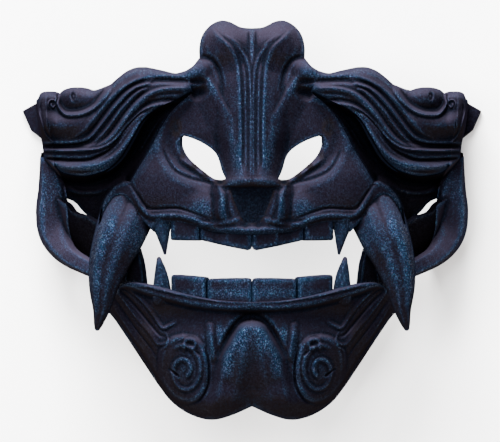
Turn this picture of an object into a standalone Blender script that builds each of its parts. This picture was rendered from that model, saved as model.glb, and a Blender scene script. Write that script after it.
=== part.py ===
"""Oni half mask: a hard shell face with swept brows, tusks, teeth, side horns and an open lower jaw.

The mask lies on its rear rim with the face up. +Z points out of the face, +Y to the crown and
+X to the wearer's left. The origin is under the middle of the mask, on the plane that it lies on.

Places on the face are read from the front, in hundredths: "across" of half the mask's width and
"up" of half its height. "Deep" is in hundredths of FORM_DEPTH, and a "lift" is a share of RELIEF.
Every table gives the wearer's left side. The right side is its mirror image.
"""

import math
from collections import namedtuple

import bmesh
import bpy
import numpy as np
from mathutils import Matrix

# Driving dimensions, in metres.
MASK_WIDTH = 0.254
MASK_HEIGHT = 0.220
FORM_DEPTH = 0.096
RELIEF = 0.010
WALL = 0.0032
BROW_ROUNDING = 0.007
TOOTH_THICKNESS = 0.0055
TAB_THICKNESS = 0.0036
GAP = 0.0003

# How finely the surfaces are divided.
SHELL_STEP_DEG = 6.2
PLAIN_STEP_DEG = 8
SHELL_ROW = 0.0092
PLAIN_ROW = 0.0120
OUTLINE_STEPS = 1
SWEEP_STEPS = 2
FOLD_STEPS = 2
HORN_SIDES = 8
FANG_SIDES = 6
FOLD_SIDES = 4

# How the shells behave towards their edges and inside.
RIM_FADE_DEG = 9
LEAST_SLOPE = 0.32
HOLLOW_SHARE = 0.7
HOLLOW_MARGIN = 0.012
BROW_EDGE_DROP = 0.45
HORN_FLATNESS = 0.85
FANG_SEAT = 0.6
TOOTH_CORNER = 0.16
SMOOTH_ANGLE_DEG = 40
LEAST_MITRE = 0.5
MERGE_DISTANCE = 0.00005

HUNDREDTH_ACROSS = MASK_WIDTH / 200
HUNDREDTH_UP = MASK_HEIGHT / 200
HUNDREDTH_DEEP = FORM_DEPTH / 100
FRONT_SCALE = np.array([HUNDREDTH_ACROSS, HUNDREDTH_UP])

Section = namedtuple("Section", "up half_width depth")
NoseSection = namedtuple("NoseSection", "up half_width lift")
Bump = namedtuple("Bump", "across up reach_across reach_up lift")
Ridge = namedtuple("Ridge", "width points")
Ring = namedtuple("Ring", "across up deep radius")
Tooth = namedtuple("Tooth", "name inner outer tip_inner tip_outer root")
Swirl = namedtuple("Swirl", "across up reach_across reach_up turns radius")

# The plain head form that every shell follows, from the crown to the chin.
HEAD_FORM = (
    Section(110, 94, 78),
    Section(100, 94, 84),
    Section(80, 94, 92),
    Section(64, 94, 97),
    Section(57, 94, 98),
    Section(47, 93, 99),
    Section(39, 91.5, 100),
    Section(20, 90, 100),
    Section(0, 86.5, 100),
    Section(-15, 81, 99),
    Section(-30, 74.5, 99),
    Section(-45, 67.5, 99),
    Section(-60, 61, 99),
    Section(-80, 51.5, 96),
    Section(-100, 43, 88),
    Section(-110, 39, 82),
)

# Outlines seen from the front: runs of points (across, up), with a smooth curve through each run.
# The two middle pieces are drawn as left halves that reach a little past the middle line.
PAST_MIDDLE = -3
BROW_SEAM = ((28.8, 74.6), (27, 69), (26.2, 64))
CHEEK_CREASE = ((26.2, 64), (33.6, 56), (38.9, 47.5), (44.5, 35), (49.8, 25), (52.8, 18.8))
HOOD_EDGE = ((52.8, 18.8), (56, 18.8), (60, 16), (63.4, 11), (65.2, 5), (66, -2))
TUSK_SEAT_EDGE = ((66, -2), (57.6, -8.5), (49.3, -14.5))
BROW_UNDERSIDE = (
    (85.2, 26.5), (81, 23.2), (73, 21.8), (66.4, 23.3), (61.5, 26), (56.5, 31.5),
    (52, 40), (47, 50), (41, 55.6), (33.6, 59.6), (26.2, 64),
)
HORN_SEAT = ((95, 33), (90, 31), (85.2, 26.5))
FACE_HALF = (
    ((PAST_MIDDLE, 96), (0, 96)),
    ((0, 96), (5, 96.6), (10, 99.3), (14, 99.8), (18.3, 97.2), (21.5, 92.5), (22.8, 86.5), (22.8, 81)),
    ((22.8, 81), (25.6, 77), (28.8, 74.6)),
    BROW_SEAM,
    CHEEK_CREASE,
    HOOD_EDGE,
    TUSK_SEAT_EDGE,
    ((49.3, -14.5), (42.4, -6)),
    ((42.4, -6), (40, -1.8), (36.7, -1), (29.3, -2), (22.7, -4), (18.3, -6), (11.8, -7), (0, -7.5)),
    ((0, -7.5), (PAST_MIDDLE, -7.5)),
    ((PAST_MIDDLE, -7.5), (PAST_MIDDLE, 96)),
)
BROW = (
    ((28.8, 74.6), (33.6, 73.4), (40.2, 75), (48, 76.6), (53.3, 75), (57.6, 71.5), (61.1, 68)),
    ((61.1, 68), (66.4, 65.8), (69.9, 65), (73.5, 66.2), (77.3, 66.6), (81.5, 65.6), (85.2, 62.3)),
    ((85.2, 62.3), (87, 64.2), (89.1, 64.6), (91.7, 63.6), (93.3, 60.5), (97, 60)),
    ((97, 60), (97, 39)),
    ((97, 39), (95, 33)),
    HORN_SEAT,
    BROW_UNDERSIDE,
    BROW_SEAM[::-1],
)
TEMPLE = (
    BROW_UNDERSIDE[::-1],
    HORN_SEAT[::-1],
    ((95, 33), (97, 12)),
    ((97, 12), (86, 11.5)),
    ((86, 11.5), (80, 10), (76.5, 7), (72, 2.9)),
    ((72, 2.9), (66, -2)),
    HOOD_EDGE[::-1],
    CHEEK_CREASE[::-1],
)
JAW_ARM_FOOT = ((46.7, -31.8), (54.1, -31.6), (61, -37), (66.5, -43))
JAW_ARM = (
    ((66, -2), (72, 2.3)),
    ((72, 2.3), (76.5, 4.8), (80, 8), (86, 11.5)),
    ((86, 11.5), (97, 12)),
    ((97, 12), (97, -16)),
    ((97, -16), (82, -18.5), (72, -24.5), (66.5, -33), (66.5, -43)),
    JAW_ARM_FOOT[::-1],
    ((46.7, -31.8), (47.6, -22.5), (49.3, -14.5)),
    TUSK_SEAT_EDGE[::-1],
)
JAW_HALF = (
    ((PAST_MIDDLE, -41), (0, -41)),
    ((0, -41), (11.8, -40.4), (22.7, -38.5), (33.6, -35.5), (41.5, -33), (46.7, -31.8)),
    JAW_ARM_FOOT,
    ((66.5, -43), (61.1, -48), (55.5, -57), (48.9, -68.5), (40.6, -83)),
    ((40.6, -83), (35.5, -90.5), (29.3, -96), (22.7, -99.2), (16.6, -100), (8.7, -97.5), (0, -93.3)),
    ((0, -93.3), (PAST_MIDDLE, -93.3)),
    ((PAST_MIDDLE, -93.3), (PAST_MIDDLE, -41)),
)
EYE = (
    ((11.4, 20.6), (13.1, 25), (14.8, 31.5), (17.5, 35.5), (23.1, 39.5), (29.3, 42), (30.8, 41.2)),
    ((30.8, 41.2), (30.6, 36.5), (28, 31), (22.7, 25.5), (17, 20.8), (13.1, 20)),
    ((13.1, 20), (11.4, 20.6)),
)

# The raised middle of the face, from the crown down over the bridge and the nose to the lip.
NOSE = (
    NoseSection(100, 6, 0.1),
    NoseSection(75, 9, 0.4),
    NoseSection(50, 9, 0.6),
    NoseSection(35, 9, 0.9),
    NoseSection(25, 10.5, 1.4),
    NoseSection(20, 12.5, 2.0),
    NoseSection(17, 13.5, 1.9),
    NoseSection(12, 14, 1.1),
    NoseSection(5, 14, 0.8),
    NoseSection(-4, 14, 0.9),
    NoseSection(-12, 14, 0.7),
)
FACE_BUMPS = (
    Bump(12.5, 89, 13, 15, 1.1),
    Bump(25, 31, 16, 18, -0.65),
    Bump(32, 53, 9, 13, 0.35),
    Bump(41, 18, 17, 17, 0.4),
    Bump(27, 78, 7, 8, 0.5),
)
FACE_RIDGES = (
    Ridge(9, ((65, 2, 0.3), (62, 10.5, 0.6), (57, 14.5, 0.7), (52, 11, 0.7), (47, 3, 0.5))),
)
BROW_LIFTS = ((20, 0.5), (30, 0.7), (40, 1.0), (52, 1.25), (65, 1.1), (80, 0.95), (100, 0.9))
BROW_BUMPS = (
    Bump(75, 61, 11, 7.5, -0.6),
    Bump(62, 29, 16, 9, 0.25),
    Bump(66, 37, 20, 4, -0.2),
)
TEMPLE_LIFT = -0.25
JAW_BUMPS = (
    Bump(0, -62, 13, 26, 1.1),
    Bump(14, -90, 14, 18, 0.6),
    Bump(29.7, -75, 12, 18, 0.45),
    Bump(10, -54, 12, 8, -0.3),
)
JAW_RIDGES = (
    Ridge(8, ((0, -42, 0.6), (22, -40, 0.6), (42, -34.5, 0.5), (54, -33, 0.3))),
)

# Raised folds: half-round crests (across, up, radius), the radius in hundredths across.
FACE_FOLDS = (
    ((16, 94, 0.5), (9.5, 88.5, 1.3), (6.5, 80, 1.5), (4.8, 55, 1.3), (5.2, 27.5, 0.5)),
    ((22, 79, 0.5), (17.3, 76.5, 1.4), (13, 67.5, 1.5), (10.4, 55, 1.2), (8.7, 46, 0.5)),
    ((48, 17, 0.5), (44.5, 7, 1.0), (40, 4.6, 1.1), (30, 5, 1.1), (18, 2, 0.6)),
)
BROW_FOLDS = (
    ((33, 65, 0.6), (44.2, 65, 1.4), (52.8, 62, 1.7), (58, 57, 1.7), (62.4, 50, 1.7), (68, 41.5, 0.6)),
    ((46.3, 69, 0.6), (54, 66.5, 1.5), (60, 60.5, 1.7), (66.7, 52, 1.5), (73, 43, 0.6)),
    (
        (35.5, 60.5, 0.6), (42, 59.5, 1.5), (48.5, 56.5, 1.8), (54, 49.5, 1.9), (58.5, 41.5, 1.9),
        (64, 36.8, 1.7), (72, 34.6, 1.5), (84, 35.5, 0.6),
    ),
    (
        (84.4, 60, 0.6), (83.1, 56, 1.2), (79.7, 54, 1.3), (74.5, 54.5, 1.3), (69.3, 57.5, 1.3),
        (63, 64, 0.6),
    ),
)
JAW_FOLDS = (
    ((4.5, -53, 0.6), (8.5, -60, 1.6), (13, -71, 1.7), (16.5, -84, 0.6)),
    ((52, -38, 0.6), (45, -46, 1.5), (38.5, -53, 1.4), (32, -51.5, 0.5)),
    ((57, -41, 0.5), (50.7, -50, 1.4), (43, -60, 1.4), (36, -61, 0.5)),
)
CHIN_SWIRL = Swirl(29.5, -74, 8.5, 13.5, 1.4, 1.4)
SWIRL_POINTS_PER_TURN = 6
SWIRL_CLOSING = 0.8
SWIRL_THINNING = 0.5

# Teeth: the two sides and the two tip corners of each, and where its root ends behind the lip.
UPPER_ROOT = 5
LOWER_ROOT = -45
UPPER_TEETH = (
    Tooth("upper_incisor", 0.6, 22.4, -15.2, -10.6, UPPER_ROOT),
    Tooth("upper_side_tooth", 23.2, 35.6, -10.4, -10.2, UPPER_ROOT),
)
LOWER_TEETH = (
    Tooth("lower_incisor", 0.5, 19.4, -28.9, -29.2, LOWER_ROOT),
    Tooth("lower_side_tooth", 20.4, 35.4, -28.4, -27.3, LOWER_ROOT),
)

# Tapering round bodies: the middle line, and the radius in hundredths across, at each ring. The
# fangs have no depth of their own: they lie against the inside of the lips.
TUSK = (
    Ring(50.5, 12, 62, 10.0),
    Ring(53.7, 3, 70, 11.4),
    Ring(57.4, -8, 79, 10.9),
    Ring(61.6, -20.5, 82, 8.9),
    Ring(64.0, -32.5, 83, 6.6),
    Ring(65.0, -44, 82, 3.9),
    Ring(66.3, -52, 80, 2.0),
    Ring(66.9, -54.6, 79.3, 0.6),
)
SIDE_HORN = (
    Ring(91.2, 34, 28, 0.8),
    Ring(89.8, 29, 27.5, 2.6),
    Ring(88.0, 22, 26, 4.7),
    Ring(86.9, 14, 24, 6.3),
    Ring(86.9, 5, 23, 7.1),
    Ring(86.2, -5, 25, 6.9),
    Ring(83.5, -12.5, 31, 5.9),
    Ring(78.8, -18.5, 40, 4.6),
    Ring(71.0, -23.5, 50, 3.8),
    Ring(63.5, -27, 56, 3.4),
)
UPPER_FANG = ((40.2, 4, 3.2), (39.4, -3, 2.9), (38.6, -10, 2.1), (37.7, -15.5, 1.1), (37.6, -17, 0.35))
LOWER_FANG = ((39.4, -43, 3.2), (39, -35, 3.2), (39.2, -27, 2.6), (40, -21, 1.6), (40.3, -18.8, 0.5))

# Ear tabs: flat pointed flanges beside the rear rim.
TAB_ROOT_UPS = (59, 53, 47, 41)
TAB_TIP_UP = 55
TAB_SHOULDER = (0.55, 0.3)

SHELL_COLOUR = (0.035, 0.040, 0.075, 1.0)
HORN_COLOUR = (0.030, 0.045, 0.085, 1.0)
SHELL_ROUGHNESS = 0.42
HORN_ROUGHNESS = 0.35


def clear_scene():
    """Removes whatever the startup file holds."""
    for obj in list(bpy.data.objects):
        bpy.data.objects.remove(obj, do_unlink=True)


def new_collection(name):
    collection = bpy.data.collections.new(name)
    bpy.context.scene.collection.children.link(collection)
    return collection


def plastic(name, colour, roughness):
    """A Principled material for the printed plastic."""
    material = bpy.data.materials.new(name)
    material.use_nodes = True
    shader = material.node_tree.nodes["Principled BSDF"]
    shader.inputs["Base Color"].default_value = colour
    shader.inputs["Roughness"].default_value = roughness
    shader.inputs["Metallic"].default_value = 0.0
    return material


def smooth_value(places, stops, values):
    """A smooth curve through (stops, values), read at places. The stops run upwards."""
    stops = np.asarray(stops, float)
    values = np.asarray(values, float)
    slopes = np.gradient(values, stops)
    places = np.clip(places, stops[0], stops[-1])
    span = np.clip(np.searchsorted(stops, places, side="right") - 1, 0, len(stops) - 2)
    width = stops[span + 1] - stops[span]
    t = (places - stops[span]) / width
    return (
        values[span] * (1 + 2 * t) * (1 - t) ** 2
        + slopes[span] * width * t * (1 - t) ** 2
        + values[span + 1] * t**2 * (3 - 2 * t)
        + slopes[span + 1] * width * t**2 * (t - 1)
    )


def section_value(sections, column, up):
    """One column of a table of sections, read at heights up."""
    rows = sorted(sections)
    return smooth_value(up, [row.up for row in rows], [getattr(row, column) for row in rows])


def smooth_run(points, steps):
    """A smooth curve through the points, with so many steps between each two."""
    points = np.asarray(points, float)
    if len(points) < 3:
        return points
    stops = np.arange(len(points))
    places = np.linspace(0, len(points) - 1, steps * (len(points) - 1) + 1)
    return np.stack([smooth_value(places, stops, column) for column in points.T], axis=1)


def outline_points(runs):
    """The closed outline of a piece, in metres."""
    return np.concatenate([smooth_run(run, OUTLINE_STEPS)[:-1] for run in runs]) * FRONT_SCALE


def drawn_in(points, distance):
    """A closed outline moved inwards by a distance."""
    ahead = np.roll(points, -1, axis=0)
    behind = np.roll(points, 1, axis=0)
    area = np.sum(points[:, 0] * ahead[:, 1] - ahead[:, 0] * points[:, 1])
    first = (points - behind) / np.linalg.norm(points - behind, axis=1)[:, None]
    second = (ahead - points) / np.linalg.norm(ahead - points, axis=1)[:, None]
    along = (first + second) / np.linalg.norm(first + second, axis=1)[:, None]
    inward = np.stack([-along[:, 1], along[:, 0]], axis=1) * np.sign(area)
    stretch = 1 / np.clip(np.sum(along * second, axis=1), LEAST_MITRE, 1)
    return points + inward * distance * stretch[:, None]


def distance_to(places, path):
    """How far each place is from a path, and how far along the path its nearest point is."""
    best = np.full(len(places), np.inf)
    along = np.zeros(len(places))
    for index, (start, end) in enumerate(zip(path[:-1], path[1:])):
        step = end - start
        t = np.clip((places - start) @ step / (step @ step), 0, 1)
        distance = np.linalg.norm(places - start - t[:, None] * step, axis=1)
        nearer = distance < best
        best = np.where(nearer, distance, best)
        along = np.where(nearer, index + t, along)
    return best, along


def ridge_lift(places, ridge):
    """The lift of a broad ridge that fades over its width to both sides."""
    table = smooth_run(ridge.points, OUTLINE_STEPS)
    distance, along = distance_to(places, table[:, :2] * FRONT_SCALE)
    height = np.interp(along, np.arange(len(table)), table[:, 2])
    fade = np.clip(1 - (distance / (ridge.width * HUNDREDTH_ACROSS)) ** 2, 0, 1)
    return height * fade**2


def bump_lift(places, bump):
    """The lift of a round bump, or of a hollow where its lift is negative."""
    across = (places[:, 0] / HUNDREDTH_ACROSS - bump.across) / bump.reach_across
    up = (places[:, 1] / HUNDREDTH_UP - bump.up) / bump.reach_up
    return bump.lift * np.clip(1 - across**2 - up**2, 0, 1) ** 1.5


def relief(places, bumps=(), ridges=()):
    """The summed lift of bumps and ridges, which is the same on both sides of the face."""
    places = np.stack([np.abs(places[:, 0]), places[:, 1]], axis=1)
    lift = np.zeros(len(places))
    for bump in bumps:
        lift += bump_lift(places, bump)
    for ridge in ridges:
        lift += ridge_lift(places, ridge)
    return lift


def face_lift(places):
    up = places[:, 1] / HUNDREDTH_UP
    half_width = section_value(NOSE, "half_width", up) * HUNDREDTH_ACROSS
    middle = np.clip(1 - (places[:, 0] / half_width) ** 2, 0, 1)
    return section_value(NOSE, "lift", up) * middle + relief(places, FACE_BUMPS, FACE_RIDGES)


def brow_edge_distance(places):
    """How far places are from the upper or the lower edge of the brow."""
    upper, _ = distance_to(places, outline_points(BROW[:2]))
    lower, _ = distance_to(places, smooth_run(BROW_UNDERSIDE, OUTLINE_STEPS) * FRONT_SCALE)
    return np.minimum(upper, lower)


def brow_lift(places):
    """The brow is a thick body whose upper and lower edges are rounded over."""
    stops, lifts = zip(*BROW_LIFTS)
    body = smooth_value(places[:, 0] / HUNDREDTH_ACROSS, stops, lifts) + relief(places, BROW_BUMPS)
    near = np.clip(1 - brow_edge_distance(places) / BROW_ROUNDING, 0, 1)
    return body * (1 - BROW_EDGE_DROP * near**2)


def temple_lift(places):
    return np.full(len(places), TEMPLE_LIFT)


def arm_lift(places):
    return np.zeros(len(places))


def jaw_lift(places):
    return relief(places, JAW_BUMPS, JAW_RIDGES)


def form_half_width(up):
    return section_value(HEAD_FORM, "half_width", up) * HUNDREDTH_ACROSS


def form_point(angle, up, inset):
    """A point of the form, drawn in by inset: angle 0 is the middle line, 90 degrees the rear rim."""
    depth = section_value(HEAD_FORM, "depth", up) * HUNDREDTH_DEEP
    return (form_half_width(up) - inset) * np.sin(angle), (depth - inset) * np.cos(angle)


def raised_depth(angle, lift):
    """How much deeper than the form the surface lies, for a lift along the form's normal."""
    slope = np.maximum(np.cos(angle), LEAST_SLOPE)
    rim_fade = np.clip((math.pi / 2 - np.abs(angle)) / math.radians(RIM_FADE_DEG), 0, 1)
    return lift * RELIEF / slope * rim_fade


def hollow(lift_at):
    """The lift of the inner face, which follows the outer one less strongly where that is raised."""
    return lambda places: np.where(lift_at(places) > 0, lift_at(places) * HOLLOW_SHARE, lift_at(places))


def brow_hollow(places):
    """The brow is hollow behind its middle and reaches down to the plain form at its edges."""
    middle = np.clip(brow_edge_distance(places) / HOLLOW_MARGIN, 0, 1)
    return brow_lift(places) * HOLLOW_SHARE * middle


def surface_points(places, lift_at, inset=0):
    """The points (x, y, z) of a shell's face at places seen from the front."""
    up = places[:, 1] / HUNDREDTH_UP
    angle = np.arcsin(np.clip(places[:, 0] / (form_half_width(up) - inset), -1, 1))
    _, z = form_point(angle, up, inset)
    return np.column_stack([places, z + raised_depth(angle, lift_at(places))])


def shell_slab(
    name, lift_at, angles, ups, step_deg, row, inset=0.0, wall=WALL, inner_at=None, filled_to=None
):
    """A closed slab over the form between two angles (degrees) and two heights (hundredths).

    Its outer face stands lift_at above the form drawn in by inset, and its inner face inner_at
    above the form drawn in by the wall too. With filled_to it is a cutter instead: solid down to
    that height, and two gaps higher.
    """
    columns = max(2, math.ceil((angles[1] - angles[0]) / step_deg))
    rows = max(2, math.ceil((ups[1] - ups[0]) * HUNDREDTH_UP / row))
    bm = bmesh.new()
    bmesh.ops.create_grid(bm, x_segments=columns, y_segments=rows, size=1)
    inner = list(bm.verts)
    grid = np.array([vertex.co[:2] for vertex in inner])
    angle = np.radians(np.interp(grid[:, 0], (-1, 1), angles))
    up = np.interp(grid[:, 1], (-1, 1), ups)
    y = up * HUNDREDTH_UP

    outer_x, outer_z = form_point(angle, up, inset)
    outer_z = outer_z + raised_depth(angle, lift_at(np.column_stack([outer_x, y])))
    if filled_to is None:
        inner_x, inner_z = form_point(angle, up, inset + wall)
        lift = (inner_at or hollow(lift_at))(np.column_stack([inner_x, y]))
        inner_z = np.minimum(inner_z + raised_depth(angle, lift), outer_z - wall / 2 * np.cos(angle))
    else:
        outer_z = outer_z + 2 * GAP
        inner_x, inner_z = outer_x, np.full(len(grid), filled_to)

    order = {(round(x, 4), round(y, 4)): index for index, (x, y) in enumerate(grid)}
    extruded = bmesh.ops.extrude_face_region(bm, geom=bm.faces[:], use_keep_orig=True)["geom"]
    for vertex in extruded:
        if isinstance(vertex, bmesh.types.BMVert):
            index = order[round(vertex.co.x, 4), round(vertex.co.y, 4)]
            vertex.co = (outer_x[index], y[index], outer_z[index])
    for index, vertex in enumerate(inner):
        vertex.co = (inner_x[index], y[index], inner_z[index])
    bmesh.ops.triangulate(bm, faces=bm.faces[:], quad_method="FIXED")
    bmesh.ops.recalc_face_normals(bm, faces=bm.faces[:])
    return mesh_object(name, bm)


def swept_body(name, centres, radii, sides, flatness=1.0):
    """A tapering round body along centres, with a ring at each and a cap at both ends."""
    tangents = np.gradient(centres, axis=0)
    bm = bmesh.new()
    rings = []
    for centre, radius, tangent in zip(centres, radii, tangents):
        tangent = tangent / np.linalg.norm(tangent)
        across = np.cross(tangent, (0, 0, 1))
        across /= np.linalg.norm(across)
        forward = np.cross(across, tangent) * flatness
        turns = [math.tau * step / sides for step in range(sides)]
        circle = [math.cos(turn) * across + math.sin(turn) * forward for turn in turns]
        rings.append([bm.verts.new(centre + radius * place) for place in circle])
    for lower, upper in zip(rings[:-1], rings[1:]):
        for index in range(sides):
            after = (index + 1) % sides
            bm.faces.new((lower[index], lower[after], upper[after], upper[index]))
    bm.faces.new(rings[0])
    bm.faces.new(rings[-1])
    bmesh.ops.recalc_face_normals(bm, faces=bm.faces[:])
    return mesh_object(name, bm)


def horn_body(name, rings, sides):
    table = smooth_run(rings, SWEEP_STEPS)
    centres = table[:, :3] * (HUNDREDTH_ACROSS, HUNDREDTH_UP, HUNDREDTH_DEEP)
    return swept_body(name, centres, table[:, 3] * HUNDREDTH_ACROSS, sides, HORN_FLATNESS)


def mesh_object(name, bm):
    mesh = bpy.data.meshes.new(name)
    bm.to_mesh(mesh)
    bm.free()
    return bpy.data.objects.new(name, mesh)


def as_part(obj, colour=SHELL_COLOUR, roughness=SHELL_ROUGHNESS):
    """Puts an object among the parts, with a material of its own."""
    bpy.data.collections["oni_mask"].objects.link(obj)
    obj.data.materials.append(plastic(obj.name + "_plastic", colour, roughness))
    obj.data.shade_smooth()
    obj.data.set_sharp_from_angle(angle=math.radians(SMOOTH_ANGLE_DEG))
    return obj


def as_cutter(obj, collection="cutters"):
    bpy.data.collections[collection].objects.link(obj)
    obj.hide_render = True
    obj.display_type = "WIRE"
    return obj


def outline_prism(name, points, low, high):
    """The flat outline, as a filled 2D curve, extruded from low to high and made a mesh."""
    curve = bpy.data.curves.new(name, "CURVE")
    curve.dimensions = "2D"
    curve.fill_mode = "BOTH"
    curve.extrude = (high - low) / 2
    spline = curve.splines.new("POLY")
    spline.points.add(len(points) - 1)
    for point, (x, y) in zip(spline.points, points):
        point.co = (x, y, 0, 1)
    spline.use_cyclic_u = True
    drawn = bpy.data.objects.new(name + "_curve", curve)
    drawn.location.z = (high + low) / 2
    bpy.context.scene.collection.objects.link(drawn)
    bpy.context.view_layer.update()
    graph = bpy.context.evaluated_depsgraph_get()
    mesh = bpy.data.meshes.new_from_object(drawn.evaluated_get(graph))
    bm = bmesh.new()
    bm.from_mesh(mesh)
    bmesh.ops.remove_doubles(bm, verts=bm.verts[:], dist=MERGE_DISTANCE)
    bmesh.ops.recalc_face_normals(bm, faces=bm.faces[:])
    bm.to_mesh(mesh)
    bm.free()
    prism = bpy.data.objects.new(name, mesh)
    prism.matrix_world = drawn.matrix_world
    bpy.data.objects.remove(drawn)
    return prism


def outline_cutter(name, points):
    return as_cutter(outline_prism(name, points, -FORM_DEPTH, 2 * FORM_DEPTH))


def boolean(obj, cutter, operation):
    modifier = obj.modifiers.new(operation.lower() + "_" + cutter.name, "BOOLEAN")
    modifier.operation = operation
    modifier.object = cutter
    modifier.solver = "EXACT"


def raise_folds(obj, folds, lift_at):
    """Joins half-round folds to a shell, each centred on the shell's outer face."""
    group = bpy.data.collections.new(obj.name + "_folds")
    bpy.data.collections["cutters"].children.link(group)
    for index, fold in enumerate(folds):
        table = smooth_run(fold, FOLD_STEPS)
        centres = surface_points(table[:, :2] * FRONT_SCALE, lift_at)
        body = swept_body(f"{group.name}_{index}", centres, table[:, 2] * HUNDREDTH_ACROSS, FOLD_SIDES)
        as_cutter(body, group.name)
    modifier = obj.modifiers.new("union_folds", "BOOLEAN")
    modifier.operation = "UNION"
    modifier.operand_type = "COLLECTION"
    modifier.collection = group
    modifier.solver = "EXACT"


def swirl_fold(swirl):
    """The crest of a spiral that winds inwards, as a fold."""
    count = round(swirl.turns * SWIRL_POINTS_PER_TURN)
    crest = []
    for step in range(count + 1):
        share = step / count
        turn = math.tau * swirl.turns * share
        reach = 1 - SWIRL_CLOSING * share
        radius = swirl.radius * (1 - SWIRL_THINNING * share)
        across = swirl.across - swirl.reach_across * reach * math.cos(turn)
        up = swirl.up - swirl.reach_up * reach * math.sin(turn)
        crest.append((across, up, radius))
    return tuple(crest)


def mirror_half(obj):
    """Keeps what is left of the middle line and mirrors it to the right."""
    modifier = obj.modifiers.new("mirror", "MIRROR")
    modifier.use_axis = (True, False, False)
    modifier.use_bisect_axis = (True, False, False)
    modifier.merge_threshold = MERGE_DISTANCE


def span_of(points, step_deg, row, inset=0):
    """The angles (degrees) and the heights (hundredths) that a slab needs to cover an outline."""
    up = points[:, 1] / HUNDREDTH_UP
    angle = np.degrees(np.arcsin(np.clip(points[:, 0] / (form_half_width(up) - inset), -1, 1)))
    angles = (max(angle.min() - step_deg, -90), min(angle.max() + step_deg, 90))
    margin = row / 2 / HUNDREDTH_UP
    return angles, (up.min() - margin, up.max() + margin)


def shell_piece(name, points, lift_at, folds=(), step_deg=SHELL_STEP_DEG, row=SHELL_ROW, **sizes):
    """A piece of shell: the slab over its outline with its folds, cut to the outline."""
    span = span_of(points, step_deg, row, sizes.get("inset", 0))
    slab = shell_slab(name, lift_at, *span, step_deg, row, **sizes)
    if folds:
        raise_folds(slab, folds, lift_at)
    boolean(slab, outline_cutter(name + "_outline", drawn_in(points, GAP / 2)), "INTERSECT")
    return slab


def seat_behind(obj, runs, lift_at):
    """Cuts from a body all that lies within a shell or less than the gap behind it."""
    points = outline_points(runs)
    name = f"{obj.name}_behind_{lift_at.__name__}"
    span = span_of(points, SHELL_STEP_DEG, SHELL_ROW)
    room = as_cutter(shell_slab(name, lift_at, *span, SHELL_STEP_DEG, SHELL_ROW, wall=WALL + GAP))
    boolean(room, outline_cutter(name + "_outline", drawn_in(points, -GAP)), "INTERSECT")
    boolean(obj, room, "DIFFERENCE")


def keep_clear(obj, runs, lift_at, step_deg=SHELL_STEP_DEG, row=SHELL_ROW):
    """Cuts from a body all that lies over a shell's outline and under its outer face, and the gap."""
    points = outline_points(runs)
    name = f"{obj.name}_over_{lift_at.__name__}"
    room = as_cutter(
        shell_slab(name, lift_at, *span_of(points, step_deg, row), step_deg, row, filled_to=-2 * WALL)
    )
    boolean(room, outline_cutter(name + "_outline", drawn_in(points, -GAP)), "INTERSECT")
    boolean(obj, room, "DIFFERENCE")


def mirrored(obj, name):
    """A copy of a finished left piece for the right side."""
    graph = bpy.context.evaluated_depsgraph_get()
    mesh = bpy.data.meshes.new_from_object(obj.evaluated_get(graph))
    mesh.transform(Matrix.Scale(-1, 4, (1, 0, 0)) @ obj.matrix_world)
    mesh.flip_normals()
    mesh.materials.clear()
    return bpy.data.objects.new(name, mesh)


def upper_face():
    """The crown, the nose, the eye sockets, the cheeks, the hoods over the tusks and the upper lip."""
    face = as_part(shell_piece("upper_face", outline_points(FACE_HALF), face_lift, FACE_FOLDS))
    boolean(face, outline_cutter("eye", outline_points(EYE)), "DIFFERENCE")
    mirror_half(face)


def lower_jaw():
    """The lower lip, the chin and its swirls."""
    folds = JAW_FOLDS + (swirl_fold(CHIN_SWIRL),)
    mirror_half(as_part(shell_piece("lower_jaw", outline_points(JAW_HALF), jaw_lift, folds)))


def brow():
    outline = outline_points(BROW)
    return as_part(shell_piece("brow_left", outline, brow_lift, BROW_FOLDS, inner_at=brow_hollow))


def temple():
    outline = outline_points(TEMPLE)
    return as_part(shell_piece("temple_left", outline, temple_lift, (), PLAIN_STEP_DEG, PLAIN_ROW))


def jaw_arm():
    outline = outline_points(JAW_ARM)
    return as_part(shell_piece("jaw_arm_left", outline, arm_lift, (), PLAIN_STEP_DEG, PLAIN_ROW))


def ear_tab():
    """A flat pointed flange whose inner side follows the rear rim."""
    root = [(form_half_width(up) + GAP, up * HUNDREDTH_UP) for up in TAB_ROOT_UPS]
    tip = (MASK_WIDTH / 2, TAB_TIP_UP * HUNDREDTH_UP)
    shoulder = [end + (point - end) * share for end, point, share in zip(root[-1], tip, TAB_SHOULDER)]
    return as_part(outline_prism("ear_tab_left", np.array([*root, shoulder, tip]), 0, TAB_THICKNESS))


def tusk():
    body = as_part(horn_body("tusk_left", TUSK, HORN_SIDES), HORN_COLOUR, HORN_ROUGHNESS)
    keep_clear(body, FACE_HALF, face_lift)
    keep_clear(body, TEMPLE, temple_lift, PLAIN_STEP_DEG, PLAIN_ROW)
    keep_clear(body, JAW_ARM, arm_lift, PLAIN_STEP_DEG, PLAIN_ROW)
    return body


def side_horn():
    body = as_part(horn_body("side_horn_left", SIDE_HORN, HORN_SIDES), HORN_COLOUR, HORN_ROUGHNESS)
    keep_clear(body, BROW, brow_lift)
    keep_clear(body, TEMPLE, temple_lift, PLAIN_STEP_DEG, PLAIN_ROW)
    keep_clear(body, JAW_ARM, arm_lift, PLAIN_STEP_DEG, PLAIN_ROW)
    return body


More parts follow.
